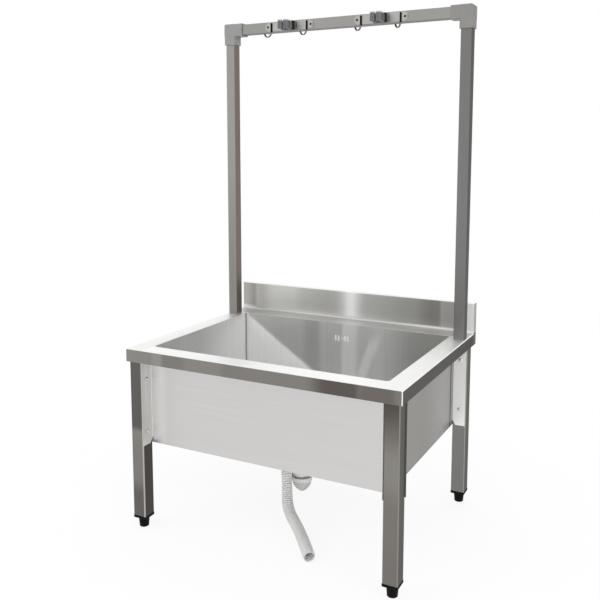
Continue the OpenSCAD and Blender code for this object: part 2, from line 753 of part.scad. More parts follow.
// One jaw, drawn on the +x side: an eye on the pin and a grip that reaches forward
module jaw(x, side) {
    low = -clip_h / 2 + ear_t + seat;
    eye_h = clip_h - 2 * ear_t - 2 * seat - spring_h;
    front_y = rail_y - jaw_out;
    body_y = rail_y - pin_out - 6.5;
    x_in = jaw_gap / 2;
    x_out = x_in + jaw_w;
    color("#6d6b6e") translate([x, 0, bar_h]) scale([side, 1, 1]) difference() {
        union() {
            translate([pin_pitch / 2, pin_y, low]) cylinder(d = eye_d, h = eye_h);
            translate([0, 0, low]) linear_extrude(eye_h)
                translate([pin_pitch / 2 - 4, body_y - 2]) square([9, 9]);
            translate([0, 0, -clip_h / 2]) linear_extrude(clip_h) {
                translate([x_in, front_y + 3]) square([jaw_w, body_y - front_y - 3]);
                translate([x_in + 3, front_y]) square([jaw_w - 6, 4]);
                for (u = [x_in + 3, x_out - 3]) translate([u, front_y + 3]) circle(3);
            }
        }
        translate([pin_pitch / 2, pin_y, -clip_h]) cylinder(d = pin_d + 2 * run, h = 2 * clip_h);
        translate([0, grip_y, -clip_h]) cylinder(r = grip_r, h = 2 * clip_h);
        translate([x_out - 2.5, front_y + 11, -clip_h / 2 + 4]) cube([4, 15, clip_h - 8]);
        translate([x_in + jaw_w / 2 + 1, front_y + 13, -clip_h / 2 - 1]) cube([2.5, 9, clip_h + 2]);
        for (u = [0.3, 0.5, 0.7]) translate([x_in + jaw_w * u - 0.5, front_y - 1, -clip_h])
            cube([1, 1.8, 2 * clip_h]);
    }
}

// Soft seal between the bowl's rear wall and the overflow housing
module overflow_gasket() {
    color("#333333") translate([0, bowl_back + bowl_t, over_h]) difference() {
        along_y(0, gasket_t) rounded(over_w, over_z, 8);
        along_y(-1, gasket_t + 1) rounded(over_w - 10, over_z - 10, 5);
    }
}

// Moulded chamber behind the overflow slots, with a spigot for its hose
module overflow_housing() {
    y0 = bowl_back + bowl_t + gasket_t;
    color("whitesmoke") difference() {
        union() {
            translate([0, 0, over_h]) {
                along_y(y0, y0 + 3) rounded(over_w, over_z, 8);
                along_y(y0, y0 + 24) rounded(over_w - 8, over_z - 8, 6);
            }
            translate([0, over_y, over_end]) cylinder(d = over_d, h = 22);
            translate([0, over_y, over_end - 14]) cylinder(d = over_bore * 0.9, h = 20);
        }
        translate([0, 0, over_h]) difference() {
            along_y(y0 - 1, y0 + 21.5) rounded(over_w - 13, over_z - 13, 4);
            translate([0, y0 - 2, 0]) rotate([-90, 0, 0]) cylinder(d = 9, h = 25);
        }
        translate([0, over_y, over_end - 15]) cylinder(d = over_bore * 0.9 - 3, h = 42);
        translate([0, y0 - 1, over_h]) rotate([-90, 0, 0]) cylinder(d = 4.2, h = 18);
    }
}

module overflow_screw() {
    color("silver") translate([0, bowl_back, over_h]) rotate([90, 0, 0])
        dome_screw(4, 16, 8, 2);
}

module overflow_hose() {
    color("gainsboro") ribbed_hose(over_route, over_d, over_bore, rib_pitch, [1, 0, 0]);
}

// Stainless flange with a sunk grid, in the bowl's drain
module waste_flange() {
    cup_r = drain_d / 2 - 2;
    color("silver") translate([drain_x, drain_y, drain_h]) difference() {
        rotate_extrude() {
            translate([cup_r - 1, 0]) square([flange_d / 2 - cup_r + 0.4, 1]);
            translate([flange_d / 2 - 0.6, 0.5]) circle(0.5);
            translate([cup_r - 1, -6]) square([1, 7]);
            translate([0, -6]) square([cup_r, 1]);
        }
        for (a = [0:45:315]) rotate(a) translate([cup_r * 0.66, 0, -7]) cylinder(d = 7, h = 3);
        translate([0, 0, -7]) cylinder(d = 5.4, h = 3);
    }
}

module waste_gasket() {
    color("#333333") translate([drain_x, drain_y, body_top]) difference() {
        cylinder(d = flange_d, h = gasket_t);
        translate([0, 0, -1]) cylinder(d = drain_d, h = gasket_t + 2);
    }
}

// Waste body: a flanged barrel with a screw boss on a cross, and the overflow's inlet
module waste_body() {
    r_in = barrel_d / 2 - 3;
    color("whitesmoke") translate([drain_x, drain_y, 0]) difference() {
        union() {
            difference() {
                union() {
                    translate([0, 0, body_top - 6]) cylinder(d = flange_d, h = 6);
                    translate([0, 0, body_low]) cylinder(d = barrel_d, h = body_h);
                    translate([0, 0, inlet_h]) rotate([-90, 0, 0]) {
                        cylinder(d = over_d, h = inlet_l);
                        cylinder(d = over_bore * 0.9, h = inlet_l + 14);
                    }
                }
                translate([0, 0, body_low - 1]) cylinder(r = r_in, h = body_h + 2);
            }
            translate([0, 0, body_top - 22]) cylinder(d = 10, h = 18);
            for (a = [0, 90]) rotate(a)
                translate([-r_in - 1, -1.25, body_top - 22]) cube([2 * r_in + 2, 2.5, 10]);
        }
        translate([0, 0, body_top - 23]) cylinder(d = 5.2, h = 24);
        translate([0, 0, body_top - 3.4]) cylinder(d = drain_d - 3.2, h = 4);
        translate([0, r_in - 2, inlet_h]) rotate([-90, 0, 0])
            cylinder(d = over_bore * 0.9 - 3, h = inlet_l + 20);
    }
}

module waste_screw() {
    color("silver") translate([drain_x, drain_y, drain_h - 5]) dome_screw(5, 24, 10, 2.4);
}

// A knurled coupling ring standing on z = 0
module coupling(d_out, d_in, h, grips) {
    linear_extrude(h) difference() {
        union() {
            circle(d = d_out - 2);
            for (k = [0:grips - 1]) rotate(360 * k / grips) translate([d_out / 2 - 1.6, 0]) circle(d = 3.2);
        }
        circle(d = d_in);
    }
}

module trap_nut() {
    color("whitesmoke") translate([drain_x, drain_y, body_low - 6]) {
        coupling(barrel_d + 12, barrel_d + 2 * run, 18, 14);
        difference() {
            cylinder(d = barrel_d + 4, h = 2);
            translate([0, 0, -1]) cylinder(r = dip_r + seat, h = 4);
        }
    }
}

// Trap head: an inlet pipe that dips into the cup, a round shell and the side outlet
module trap_head() {
    wall = 2.5;
    shell_low = ring_low + 4;
    dome = outlet_h + pipe_d / 2 + 6;
    color("whitesmoke") translate([drain_x, drain_y, 0]) difference() {
        union() {
            rotate_extrude() difference() {
                polygon([
                    [dip_r - wall, trap_low + 22], [dip_r, trap_low + 22], [dip_r, shell_low],
                    [shell_r, shell_low], [shell_r, dome - 10], [shell_r - 10, dome],
                    [dip_r, dome + 6], [dip_r, body_low + 12], [dip_r - wall, body_low + 12]
                ]);
                polygon([
                    [dip_r, trap_low + 20], [shell_r - wall, trap_low + 20],
                    [shell_r - wall, dome - 11], [shell_r - 11, dome - wall], [dip_r, dome]
                ]);
            }
            translate([0, 0, outlet_h]) rotate([0, 0, turn]) rotate([0, -90, 0])
                translate([0, 0, shell_r - 3]) cylinder(d = pipe_d, h = joint_out - seat / 2 - shell_r + 3);
            translate([0, 0, body_low - 4 + seat]) cylinder(r = dip_r + 2.6, h = 4 - 2 * seat);
        }
        translate([0, 0, outlet_h]) rotate([0, 0, turn]) rotate([0, -90, 0])
            translate([0, 0, dip_r + 3]) cylinder(d = pipe_d - 5, h = outlet_out);
        translate([0, 0, trap_low]) cylinder(r = dip_r - wall, h = body_low + 40 - trap_low);
    }
}

// Ring nut that holds the cup on the trap's head
module trap_ring() {
    color("#4a4c4d") translate([drain_x, drain_y, ring_low])
        coupling(cup_d + 7.4, cup_d + 2 + 2 * seat, ring_h, 24);
}

// Points of a pointed dome of radius r and height h on its tip at height z, from share a to b
function pointed(r, h, z, a, b, n = 14) =
    [for (k = [0:n]) let (u = a + (b - a) * k / n) [r * pow(1 - pow(1 - u, 1.6), 0.75), z + h * u]];

// The trap's cup: a pointed dome with a small flat at its lowest point
module trap_cup() {
    r = cup_d / 2;
    h = cup_d * 0.53;
    flat = 0.06;
    wall = 2;
    tip = h * flat;
    top = tip + cup_h + 4 - seat;
    outer = pointed(r, h, 0, flat, 1);
    inner = pointed(r - wall, h - wall, wall, 1, flat);
    color("lightgray") translate([drain_x, drain_y, trap_low - tip]) rotate_extrude() polygon(concat(
        [[0, outer[0][1]]], outer, [[r, top], [r - wall, top]], inner, [[0, inner[len(inner) - 1][1]]]
    ));
}

// Coupling nut on the trap's outlet, between the shell and the elbow's lower arm
module outlet_nut() {
    nut_h = outlet_out - pipe_d / 2 - shell_r - 0.6;
    color("whitesmoke") translate([drain_x, drain_y, outlet_h]) rotate([0, 0, turn]) rotate([0, -90, 0])
        translate([0, 0, shell_r + 0.3]) coupling(pipe_d + 12, pipe_d + 2 * seat, nut_h, 12);
}

// Elbow from the trap's outlet down to the hose, with a spigot inside the hose's bore
module trap_elbow() {
    spigot = hose_bore * 0.9;
    color("whitesmoke") difference() {
        union() {
            translate(elbow_at) sphere(d = pipe_d + 2.4);
            inlet_arm(pipe_d, 0, outlet_out - joint_out - seat / 2);
            outlet_arm(pipe_d, 0, leg_out);
            outlet_arm(spigot, leg_out - 2, 16);
        }
        inlet_arm(pipe_d - 5, -2, outlet_out);
        outlet_arm(pipe_d - 6, -1, leg_out - 3);
        outlet_arm(spigot - 4, 2, leg_out + 20);
    }
}

// A round bar on the elbow's arm towards the trap, from a given distance
module inlet_arm(d, from, l) {
    translate(elbow_at) rotate([0, 0, turn]) rotate([0, 90, 0])
        translate([0, 0, from]) cylinder(d = d, h = l);
}

// A round bar on the elbow's arm towards the hose, from a given distance
module outlet_arm(d, from, l) {
    translate(elbow_at) rotate([0, 0, turn]) rotate([180 - tilt, 0, 0])
        translate([0, 0, from]) cylinder(d = d, h = l);
}

module drain_hose() {
    color("gainsboro") ribbed_hose(drain_route, hose_d, hose_bore, rib_pitch, out_dir);
}

sink_deck();
splash_cap(-1);  // splash_cap_left
splash_cap(1);  // splash_cap_right
bowl();
skirt_front();
skirt_rear();
skirt_side(-1);  // skirt_left
skirt_side(1);  // skirt_right
leg(-leg_x, leg_front_y);  // leg_front_left
leg(leg_x, leg_front_y);  // leg_front_right
leg(-leg_x, leg_rear_y);  // leg_rear_left
leg(leg_x, leg_rear_y);  // leg_rear_right
leg_end(-leg_x, leg_front_y);  // leg_end_front_left
leg_end(leg_x, leg_front_y);  // leg_end_front_right
leg_end(-leg_x, leg_rear_y);  // leg_end_rear_left
leg_end(leg_x, leg_rear_y);  // leg_end_rear_right
foot(-leg_x, leg_front_y);  // foot_front_left
foot(leg_x, leg_front_y);  // foot_front_right
foot(-leg_x, leg_rear_y);  // foot_rear_left
foot(leg_x, leg_rear_y);  // foot_rear_right
leg_top_caps();
skirt_bolts();
rivet_nuts();
post(-1);  // post_left
post(1);  // post_right
post_stubs();
post_screws();
crossbar();
corner(-1);  // corner_left
corner(1);  // corner_right
rail(rail_left_x);  // rail_left
rail(rail_right_x);  // rail_right
hooks(rail_left_x);  // hooks_left
hooks(rail_right_x);  // hooks_right
rail_screws();
clip_base(rail_left_x);  // clip_base_left
clip_base(rail_right_x);  // clip_base_right
clip_pins();
clip_springs();
jaw(rail_left_x, -1);  // jaw_left_a
jaw(rail_left_x, 1);  // jaw_left_b
jaw(rail_right_x, -1);  // jaw_right_a
jaw(rail_right_x, 1);  // jaw_right_b
overflow_gasket();
overflow_housing();
overflow_screw();
overflow_hose();
waste_flange();
waste_gasket();
waste_body();
waste_screw();
trap_nut();
trap_head();
trap_ring();
trap_cup();
outlet_nut();
trap_elbow();
drain_hose();
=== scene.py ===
import bmesh
import bpy
import numpy as np
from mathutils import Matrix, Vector


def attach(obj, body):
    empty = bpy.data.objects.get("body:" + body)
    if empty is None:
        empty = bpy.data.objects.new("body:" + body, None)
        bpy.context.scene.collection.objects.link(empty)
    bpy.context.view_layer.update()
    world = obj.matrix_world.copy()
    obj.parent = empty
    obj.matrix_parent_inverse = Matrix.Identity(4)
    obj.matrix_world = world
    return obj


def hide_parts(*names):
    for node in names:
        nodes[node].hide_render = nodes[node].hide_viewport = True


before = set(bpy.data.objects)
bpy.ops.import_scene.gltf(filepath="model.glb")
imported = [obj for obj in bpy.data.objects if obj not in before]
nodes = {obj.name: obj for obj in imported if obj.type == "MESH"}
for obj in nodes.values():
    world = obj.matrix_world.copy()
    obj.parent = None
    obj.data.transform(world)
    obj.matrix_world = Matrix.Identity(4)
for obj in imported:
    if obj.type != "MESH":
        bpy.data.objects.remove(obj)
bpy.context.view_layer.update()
print("frame loaded:", len(nodes), "nodes")


# Colours are written as sRGB hex, as they look; the shader wants them linear
def linear(hexColour, alpha=1.0):
    parts = np.array([int(hexColour[i:i + 2], 16) for i in (1, 3, 5)]) / 255
    curved = np.where(parts <= 0.04045, parts / 12.92, ((parts + 0.055) / 1.055) ** 2.4)
    return (*[float(c) for c in curved], alpha)


# Adds one node: values fill its properties or sockets, links join its sockets to outputs
def addNode(tree, kind, values=None, links=None):
    node = tree.nodes.new(kind)
    for key, value in (values or {}).items():
        if isinstance(key, str) and hasattr(node, key):
            setattr(node, key, value)
        else:
            node.inputs[key].default_value = value
    for key, (source, output) in (links or {}).items():
        tree.links.new(source.outputs[output], node.inputs[key])
    return node


# An empty material, its node tree and the node that gives it the object's own coordinates
def startMaterial(name):
    material = bpy.data.materials.new(name)
    material.use_nodes = True
    tree = material.node_tree
    tree.nodes.clear()
    return material, tree, addNode(tree, "ShaderNodeTexCoord")


# The camera stands to the right of the sink, a little above the middle of its rack, and looks
# down: lens and sensor are in millimetres, tilt and turn in degrees. The floor goes from plainShare
# of plain white to all of it between plainFrom and plainTo, in metres from the middle, so that
# the shadows fade out as in the photograph.
studio = {
    "cameraAt": (1.0950, -2.1511, 1.1960),
    "cameraTilt": -6.907,
    "cameraTurn": 27.607,
    "lens": 46.062,
    "sensor": 36,
    "shiftY": -60 / 600,
    "lightStrength": 0.72,
    "plainHex": "#ffffff",
    "floorSize": 60.0,
    "floorHex": "#fbfbfb",
    "plainFrom": 0.5,
    "plainTo": 1.4,
    "plainShare": 0.88,
}


def makeCamera():
    data = bpy.data.cameras.new("photoCamera")
    data.sensor_width = studio["sensor"]
    data.lens = studio["lens"]
    data.shift_y = studio["shiftY"]
    camera = bpy.data.objects.new("photoCamera", data)
    bpy.context.scene.collection.objects.link(camera)
    camera.location = studio["cameraAt"]
    camera.rotation_euler = np.radians([90 + studio["cameraTilt"], 0, studio["cameraTurn"]])
    bpy.context.scene.camera = camera


# White all round for the eye and for what metal mirrors, a little less for what it lights
def makeWorld():
    world = bpy.data.worlds.new("studioWorld")
    bpy.context.scene.world = world
    world.use_nodes = True
    tree = world.node_tree
    tree.nodes.clear()
    ray = addNode(tree, "ShaderNodeLightPath")
    seen = addNode(tree, "ShaderNodeMath", {"operation": "MAXIMUM"},
                   {0: (ray, "Is Camera Ray"), 1: (ray, "Is Transmission Ray")})
    plain = addNode(tree, "ShaderNodeMath", {"operation": "MAXIMUM"},
                    {0: (seen, 0), 1: (ray, "Is Glossy Ray")})
    strength = addNode(tree, "ShaderNodeMapRange",
                       {"To Min": studio["lightStrength"], "To Max": 1.0}, {"Value": (plain, 0)})
    glow = addNode(tree, "ShaderNodeBackground", {"Color": linear(studio["plainHex"])},
                   {"Strength": (strength, 0)})
    addNode(tree, "ShaderNodeOutputWorld", links={"Surface": (glow, 0)})


def makeFloor():
    half = studio["floorSize"] / 2
    mesh = bpy.data.meshes.new("floor")
    corners = [(-half, -half, 0), (half, -half, 0), (half, half, 0), (-half, half, 0)]
    mesh.from_pydata(corners, [], [(0, 1, 2, 3)])
    floor = bpy.data.objects.new("floor", mesh)
    bpy.context.scene.collection.objects.link(floor)
    material, tree, place = startMaterial("paleFloor")
    far = addNode(tree, "ShaderNodeVectorMath", {"operation": "LENGTH"}, {0: (place, "Object")})
    away = addNode(tree, "ShaderNodeMapRange",
                   {"interpolation_type": "SMOOTHSTEP", "From Min": studio["plainFrom"],
                    "From Max": studio["plainTo"], "To Min": studio["plainShare"]},
                   {"Value": (far, "Value")})
    shade = addNode(tree, "ShaderNodeBsdfDiffuse", {"Color": linear(studio["floorHex"])})
    white = addNode(tree, "ShaderNodeEmission",
                    {"Color": linear(studio["plainHex"]), "Strength": 1.0})
    ray = addNode(tree, "ShaderNodeLightPath")
    seen = addNode(tree, "ShaderNodeMath", {"operation": "MAXIMUM"},
                   {0: (ray, "Is Camera Ray"), 1: (ray, "Is Glossy Ray")})
    share = addNode(tree, "ShaderNodeMath", {"operation": "MULTIPLY"},
                    {0: (away, 0), 1: (seen, 0)})
    mixed = addNode(tree, "ShaderNodeMixShader", None,
                    {0: (share, 0), 1: (shade, 0), 2: (white, 0)})
    addNode(tree, "ShaderNodeOutputMaterial", links={"Surface": (mixed, 0)})
    mesh.materials.append(material)


# Softboxes: place, the point each looks at, its size in metres and its power in watts. Nothing
# mirrors them; the low one in front lights the hose and the trap's cup under the skirt.
softboxes = {
    "keyLeft": {"at": (-2.6, -2.4, 3.0), "to": (0, 0, 0.6), "size": 2.4, "power": 44},
    "fillRight": {"at": (3.0, -1.6, 2.2), "to": (0.2, 0, 0.6), "size": 2.0, "power": 32},
    "topRear": {"at": (0.2, 1.4, 3.2), "to": (0, 0, 0.6), "size": 1.8, "power": 18},
    "lowFront": {"at": (0.5, -2.4, 0.45), "to": (0, -0.1, 0.12), "size": 1.0, "power": 11},
}


def makeLamps():
    for name, box in softboxes.items():
        data = bpy.data.lights.new(name, "AREA")
        data.shape = "SQUARE"
        data.size = box["size"]
        data.energy = box["power"]
        lamp = bpy.data.objects.new(name, data)
        bpy.context.scene.collection.objects.link(lamp)
        lamp.visible_glossy = False
        lamp.location = box["at"]
        aim = Vector(box["to"]) - Vector(box["at"])
        lamp.rotation_euler = aim.to_track_quat("-Z", "Y").to_euler()


makeCamera()
makeWorld()
makeFloor()
makeLamps()
bpy.context.scene.view_settings.view_transform = "Standard"
print("studio ready")

# Directions that zones are written in; the two slopes lie along edges of mirrored light
right = (1, 0, 0)
back = (0, 1, 0)
up = (0, 0, 1)
lightSlope = (0.5515, 0, 0.8342)
streakSlope = (0.94, 0, -0.342)

# A step is a direction and two places along it, in metres: it rises smoothly from 0 at the first
# to 1 at the second. These are the steps that several zones share.
splashFace = (back, 0.326, 0.333)
splashFront = (back, 0.345, 0.342)
rightEndPlate = (right, 0.405, 0.415)
foldBand = (up, 0.5785, 0.5775)
foldFront = (back, -0.350, -0.353)
deckTop = (up, 0.5788, 0.5794)
belowSplash = (up, 0.592, 0.586)
bowlBackWall = (back, 0.252, 0.2585)
bowlLeftWall = (right, -0.377, -0.388)
frontLegs = (back, -0.30, -0.33)
leftLegs = (right, -0.30, -0.35)
rightFlange = (right, 0.3972, 0.3980)
aboveRailEdge = (up, 1.596, 1.5965)
belowRailEdge = (up, 1.6215, 1.621)

# Stainless steel, rolled and then belted along one direction. A look has its base colour and
# roughness, its grain, slow streaks across it, and zones: a colour, its share and the steps whose
# product is the zone's weight. The base colours, which differ between parts of the same steel, and
# the zones paint what the sheet mirrors of a room that isn't here, with painted shade and
# highlights.
# metalZones make a place partly matt, which lifts it in a shaded corner, and edgeHex or edgeZones
# darken what the metal mirrors at a glancing angle. Grain is in lines per metre: a belt leaves
# lines of about 0.1 mm, too fine to show, so 260 draws them about 4 mm apart.
steelLooks = {
    # deck and backsplash in one sheet: long soft streaks, and painted reflections: bright on top,
    # darker on the turned edge, with painted highlight lines on the front right corner and on edges
    "brushedDeckSheet": {
        "nodes": ["sink_deck"], "hex": "#d3d3d0", "roughness": 0.44, "grain": (3, 260, 260),
        "streakAlong": (5.5, 0.6, 0.35), "streak": 0.04,
        "zones": [
            ("#dfdfdc", 1.0, [(right, -0.180, -0.240), splashFace]),
            ("#b0afac", 1.0, [(right, -0.385, -0.405), splashFace]),
            ("#cecdca", 0.9, [(right, -0.180, -0.100), (right, -0.045, -0.100), splashFace]),
            ("#ffffff", 1.0, [(right, -0.068, 0.004), (right, 0.066, 0.000), splashFace]),
            ("#b2b2af", 1.0, [(right, 0.04, 0.24), (right, 0.300, 0.280), splashFace]),
            ("#979592", 1.0, [(right, 0.225, 0.300), (right, 0.350, 0.325), splashFace]),
            ("#b4b3b0", 1.0, [(right, 0.332, 0.345), (right, 0.42, 0.41), splashFace]),
            ("#ffffff", 1.0, [rightEndPlate, splashFace]),
            ("#c4c4c1", 1.0, [(back, 0.345, 0.350)]),
            ("#e6e6e3", 0.8, [(up, 0.600, 0.586), (back, 0.313, 0.329), (right, 0.20, 0.05)]),
            ("#f4f4f2", 1.0, [(up, 0.6785, 0.6795)]),
            ("#86837e", 1.0, [foldBand]),
            ("#8f8d89", 1.0, [foldBand, (right, -0.300, -0.325), foldFront]),
            ("#9a9894", 0.8, [foldBand, (right, -0.36, -0.34), (right, -0.310, -0.320), foldFront]),
            ("#908d89", 0.9, [foldBand, (right, -0.250, -0.215), (right, -0.085, -0.115),
                              foldFront]),
            ("#605b57", 1.0, [foldBand, (right, 0.165, 0.235), (right, 0.345, 0.315), foldFront]),
            ("#736e6a", 1.0, [foldBand, (right, 0.310, 0.345), foldFront]),
            ("#83807b", 0.9, [foldBand, (right, 0.415, 0.440), foldFront]),
            ("#6d6b68", 1.0, [foldBand, (right, 0.4485, 0.4493)]),
            ("#615f5d", 0.9, [foldBand, (right, 0.4485, 0.4493), (back, 0.0, 0.30)]),
            ("#fcfcfa", 1.0, [deckTop, (back, 0.264, 0.258), belowSplash]),
            ("#f3f3f1", 1.0, [deckTop, (right, -0.385, -0.395), belowSplash]),
            ("#d0cfcc", 0.85, [deckTop, (back, 0.258, 0.264), (right, 0.394, 0.388), belowSplash]),
            ("#dcdbd8", 0.85, [deckTop, (back, 0.258, 0.264), (right, 0.10, 0.30),
                               (right, 0.394, 0.388), belowSplash]),
            ("#f4f4f2", 1.0, [deckTop, (back, 0.2595, 0.2602), (back, 0.2624, 0.2616),
                              (right, 0.392, 0.390)]),
            ("#ffffff", 1.0, [(right, 0.4470, 0.4485), (back, -0.3515, -0.3530)]),
            ("#ffffff", 1.0, [(right, 0.4470, 0.4480), (up, 0.5765, 0.5775), belowSplash]),
        ],
        "metalZones": [
            ("#bcbcbc", 1.0, [(right, -0.042, 0.002), (right, 0.042, 0.000), splashFace,
                              splashFront]),
            ("#d0d0d0", 1.0, [rightEndPlate, splashFace, splashFront]),
        ],
        "edgeHex": "#ffffff",
        "edgeZones": [
            ("#bdbdbd", 1.0, [(up, 0.5775, 0.5765), (right, 0.4485, 0.4493),
                              (back, -0.353, -0.350)]),
        ],
    },
    # plates welded into the backsplash's ends: dull and even, with painted shade where they hang
    # below the deck
    "brushedEndPlate": {
        "nodes": ["splash_cap_left", "splash_cap_right"], "hex": "#b5b4b1", "roughness": 0.40,
        "grain": (260, 3, 260), "streakAlong": (0.5, 3, 0.5), "streak": 0.05, "edgeHex": "#d4d4d4",
        "zones": [("#6f6c69", 1.0, [(up, 0.581, 0.579)])],
    },
    # drawn lines down the bowl's walls, painted reflections with a slanting patch of light, and a
    # thin painted shade line beside the rear left corner
    "brushedBowlSheet": {
        "nodes": ["bowl"], "hex": "#dcdcdb", "roughness": 0.46, "grain": (160, 160, 2),
        "streakAlong": (4.5, 4.5, 0.45), "streak": 0.04,
        "zones": [
            ("#c6c6c4", 0.9, [(right, -0.175, -0.120), (right, -0.070, -0.105), bowlBackWall]),
            ("#fbfbfa", 0.9, [(right, -0.010, 0.010), (right, 0.075, 0.040), bowlBackWall]),
            ("#f8f8f6", 0.9, [(streakSlope, -0.092, -0.074), (streakSlope, -0.040, -0.058),
                              bowlBackWall, (up, 0.57, 0.50)]),
            ("#adadaa", 0.9, [(right, 0.13, 0.30), bowlBackWall]),
            ("#ffffff", 0.95, [(lightSlope, 0.2750, 0.2580), bowlBackWall]),
            ("#f4f4f3", 1.0, [bowlLeftWall, (back, -0.25, 0.26)]),
            ("#dcdcdb", 0.9, [bowlLeftWall, (back, 0.10, -0.16)]),
            ("#8f8f8c", 0.9, [(right, -0.3765, -0.3790), (back, 0.246, 0.249),
                              (back, 0.2560, 0.2535)]),
        ],
        "metalZones": [
            ("#8c8c8c", 1.0, [(lightSlope, 0.2750, 0.2580), bowlBackWall, (up, 0.33, 0.42)]),
            ("#e0e0e0", 1.0, [bowlLeftWall, (back, -0.25, 0.26)]),
        ],
    },
    # the plainest panel: an even light grey with faint level lines; painted reflections lighten its
    # left end and paint its left flange white
    "satinSkirtFront": {
        "nodes": ["skirt_front"], "hex": "#d4d2d1", "roughness": 0.42, "grain": (3, 260, 260),
        "streakAlong": (1.6, 1, 1.6), "streak": 0.02,
        "zones": [
            ("#cbc8c5", 1.0, [(back, -0.3036, -0.3046)]),
            ("#e6e4e1", 1.0, [(right, -0.385, -0.392), (back, -0.318, -0.338), (up, 0.34, 0.42)]),
            ("#ffffff", 1.0, [(right, -0.325, -0.390), (back, -0.3044, -0.3038)]),
            ("#d0cfcb", 0.9, [(back, -0.3160, -0.3400)]),
        ],
    },
    # side panels: painted darker, with a painted light flange beside the rear leg and a painted
    # shadow line at its bend
    "satinSkirtSides": {
        "nodes": ["skirt_left", "skirt_right"], "hex": "#a3a29f", "roughness": 0.48,
        "edgeHex": "#e0e0e0", "grain": (260, 3, 260), "streakAlong": (1, 2.0, 0.8), "streak": 0.03,
        "zones": [
            ("#bab9b7", 1.0, [(back, -0.05, 0.24), (right, 0.3976, 0.3972)]),
            ("#f8f8f6", 1.0, [rightFlange, (back, 0.0, 0.1)]),
            ("#4a4947", 0.85, [(back, 0.250, 0.252), (back, 0.2630, 0.2620),
                               (right, 0.390, 0.395)]),
            ("#979693", 1.0, [rightFlange, (back, 0.1, 0.0)]),
        ],
        "metalZones": [("#9a9a9a", 1.0, [rightFlange, (back, 0.0, 0.1)])],
    },
    # rear panel: even and a little darker, as the wall shades it
    "satinSkirtRear": {
        "nodes": ["skirt_rear"], "hex": "#a5a4a1", "roughness": 0.42, "grain": (3, 260, 260),
        "streakAlong": (1.6, 1, 1.6), "streak": 0.03, "zones": [],
    },
    # tube: dark warm faces with lines down them, painted shade below the deck and on inner and
    # outer side faces, and painted highlights on the ridges
    "satinLegTube": {
        "nodes": ["leg_front_left", "leg_front_right", "leg_rear_left", "leg_rear_right"],
        "hex": "#7b7773", "roughness": 0.36, "edgeHex": "#bcbcbc", "grain": (300, 300, 2),
        "streakAlong": (9, 9, 2.6), "streak": 0.06,
        "zones": [
            ("#878380", 1.0, [(up, 0.52, 0.44), leftLegs, frontLegs]),
            ("#54504c", 0.9, [(up, 0.42, 0.54), frontLegs]),
            ("#6c6965", 1.0, [(up, 0.17, 0.11), leftLegs, frontLegs]),
            ("#8f8d88", 0.7, [(up, 0.25, 0.34), (up, 0.45, 0.38), frontLegs]),
            ("#64615e", 1.0, [(up, 0.312, 0.336), leftLegs, frontLegs]),
            ("#80807e", 0.9, [(back, 0.275, 0.285)]),
            ("#73706b", 1.0, [(right, 0.4392, 0.4402)]),
            ("#989692", 0.8, [(right, 0.4385, 0.4400), (back, -0.3435, -0.3450)]),
            ("#a3a3a1", 0.8, [(right, 0.4385, 0.4400), (back, 0.20, 0.21), (back, 0.2895, 0.2880)]),
            ("#534f4c", 1.0, [(right, -0.3992, -0.3985), (right, -0.393, -0.395)]),
            ("#c4c2bf", 0.9, [(right, -0.4012, -0.4002), (right, -0.39, -0.395),
                              (back, -0.3440, -0.3450)]),
            ("#dededb", 0.9, [(right, 0.390, 0.391), (right, 0.3992, 0.3980),
                              (back, -0.3400, -0.3440)]),
        ],
    },
    # the same tube, painted lighter and darker on the right post: its left post mirrors something
    # brownish on its inner side
    "satinRackTube": {
        "nodes": ["post_left", "post_right", "crossbar"],
        "hex": "#908f8c", "roughness": 0.44, "edgeHex": "#c4c4c4", "grain": (300, 300, 2),
        "streakAlong": (5, 5, 1.2), "streak": 0.04,
        "zones": [
            ("#a6a5a2", 0.9, [(up, 1.58, 1.595)]),
            ("#a6a5a2", 0.8, [(right, -0.41, -0.415), (up, 0.62, 1.3)]),
            ("#838280", 1.0, [(right, 0.405, 0.41)]),
            ("#847872", 1.0, [(right, -0.4125, -0.4115), (right, -0.40, -0.405)]),
            ("#6d6b68", 1.0, [(right, 0.4445, 0.4455)]),
        ],
    },
    # short tubes inside the posts
    "weldedStub": {
        "nodes": ["post_stubs"], "hex": "#a5a5a2", "roughness": 0.4, "grain": (300, 300, 2),
        "streakAlong": (5, 5, 1.2), "streak": 0.05, "zones": [],
    },
    # thin light plates with a dark vertical line painted beside each clip and painted shade on the
    # round end
    "satinRailPlate": {
        "nodes": ["rail_left", "rail_right"], "hex": "#b9b8b5", "roughness": 0.40,
        "grain": (3, 300, 300), "streakAlong": (9, 1, 9), "streak": 0.04,
        "zones": [
            ("#4c4b4a", 1.0, [(right, -0.1615, -0.1610), (right, -0.1585, -0.1590), aboveRailEdge,
                              belowRailEdge]),
            ("#4c4b4a", 1.0, [(right, 0.1745, 0.1750), (right, 0.1775, 0.1770), aboveRailEdge,
                              belowRailEdge]),
            ("#5b5a58", 0.9, [(right, -0.0980, -0.0972), (right, 0.0, -0.01)]),
            ("#5b5a58", 0.9, [(right, 0.2380, 0.2388)]),
        ],
    },
    # steel strip: a painted reflection almost black down the plate, brighter on the curve, darker
    # at the tip
    "darkHookStrip": {
        "nodes": [], "hex": "#8b8a88", "roughness": 0.30, "grain": (300, 300, 3),
        "streakAlong": (9, 9, 9), "streak": 0.05,
        "zones": [("#1d1c1c", 1.0, [(up, 1.588, 1.591)]),
                  ("#4a4948", 1.0, [(back, 0.1900, 0.1860)])],
    },
    # turned and tumbled: small bright dots
    "brightFastener": {
        "nodes": ["skirt_bolts", "post_screws", "overflow_screw", "waste_screw", "waste_flange",
                  "clip_pins", "clip_springs"],
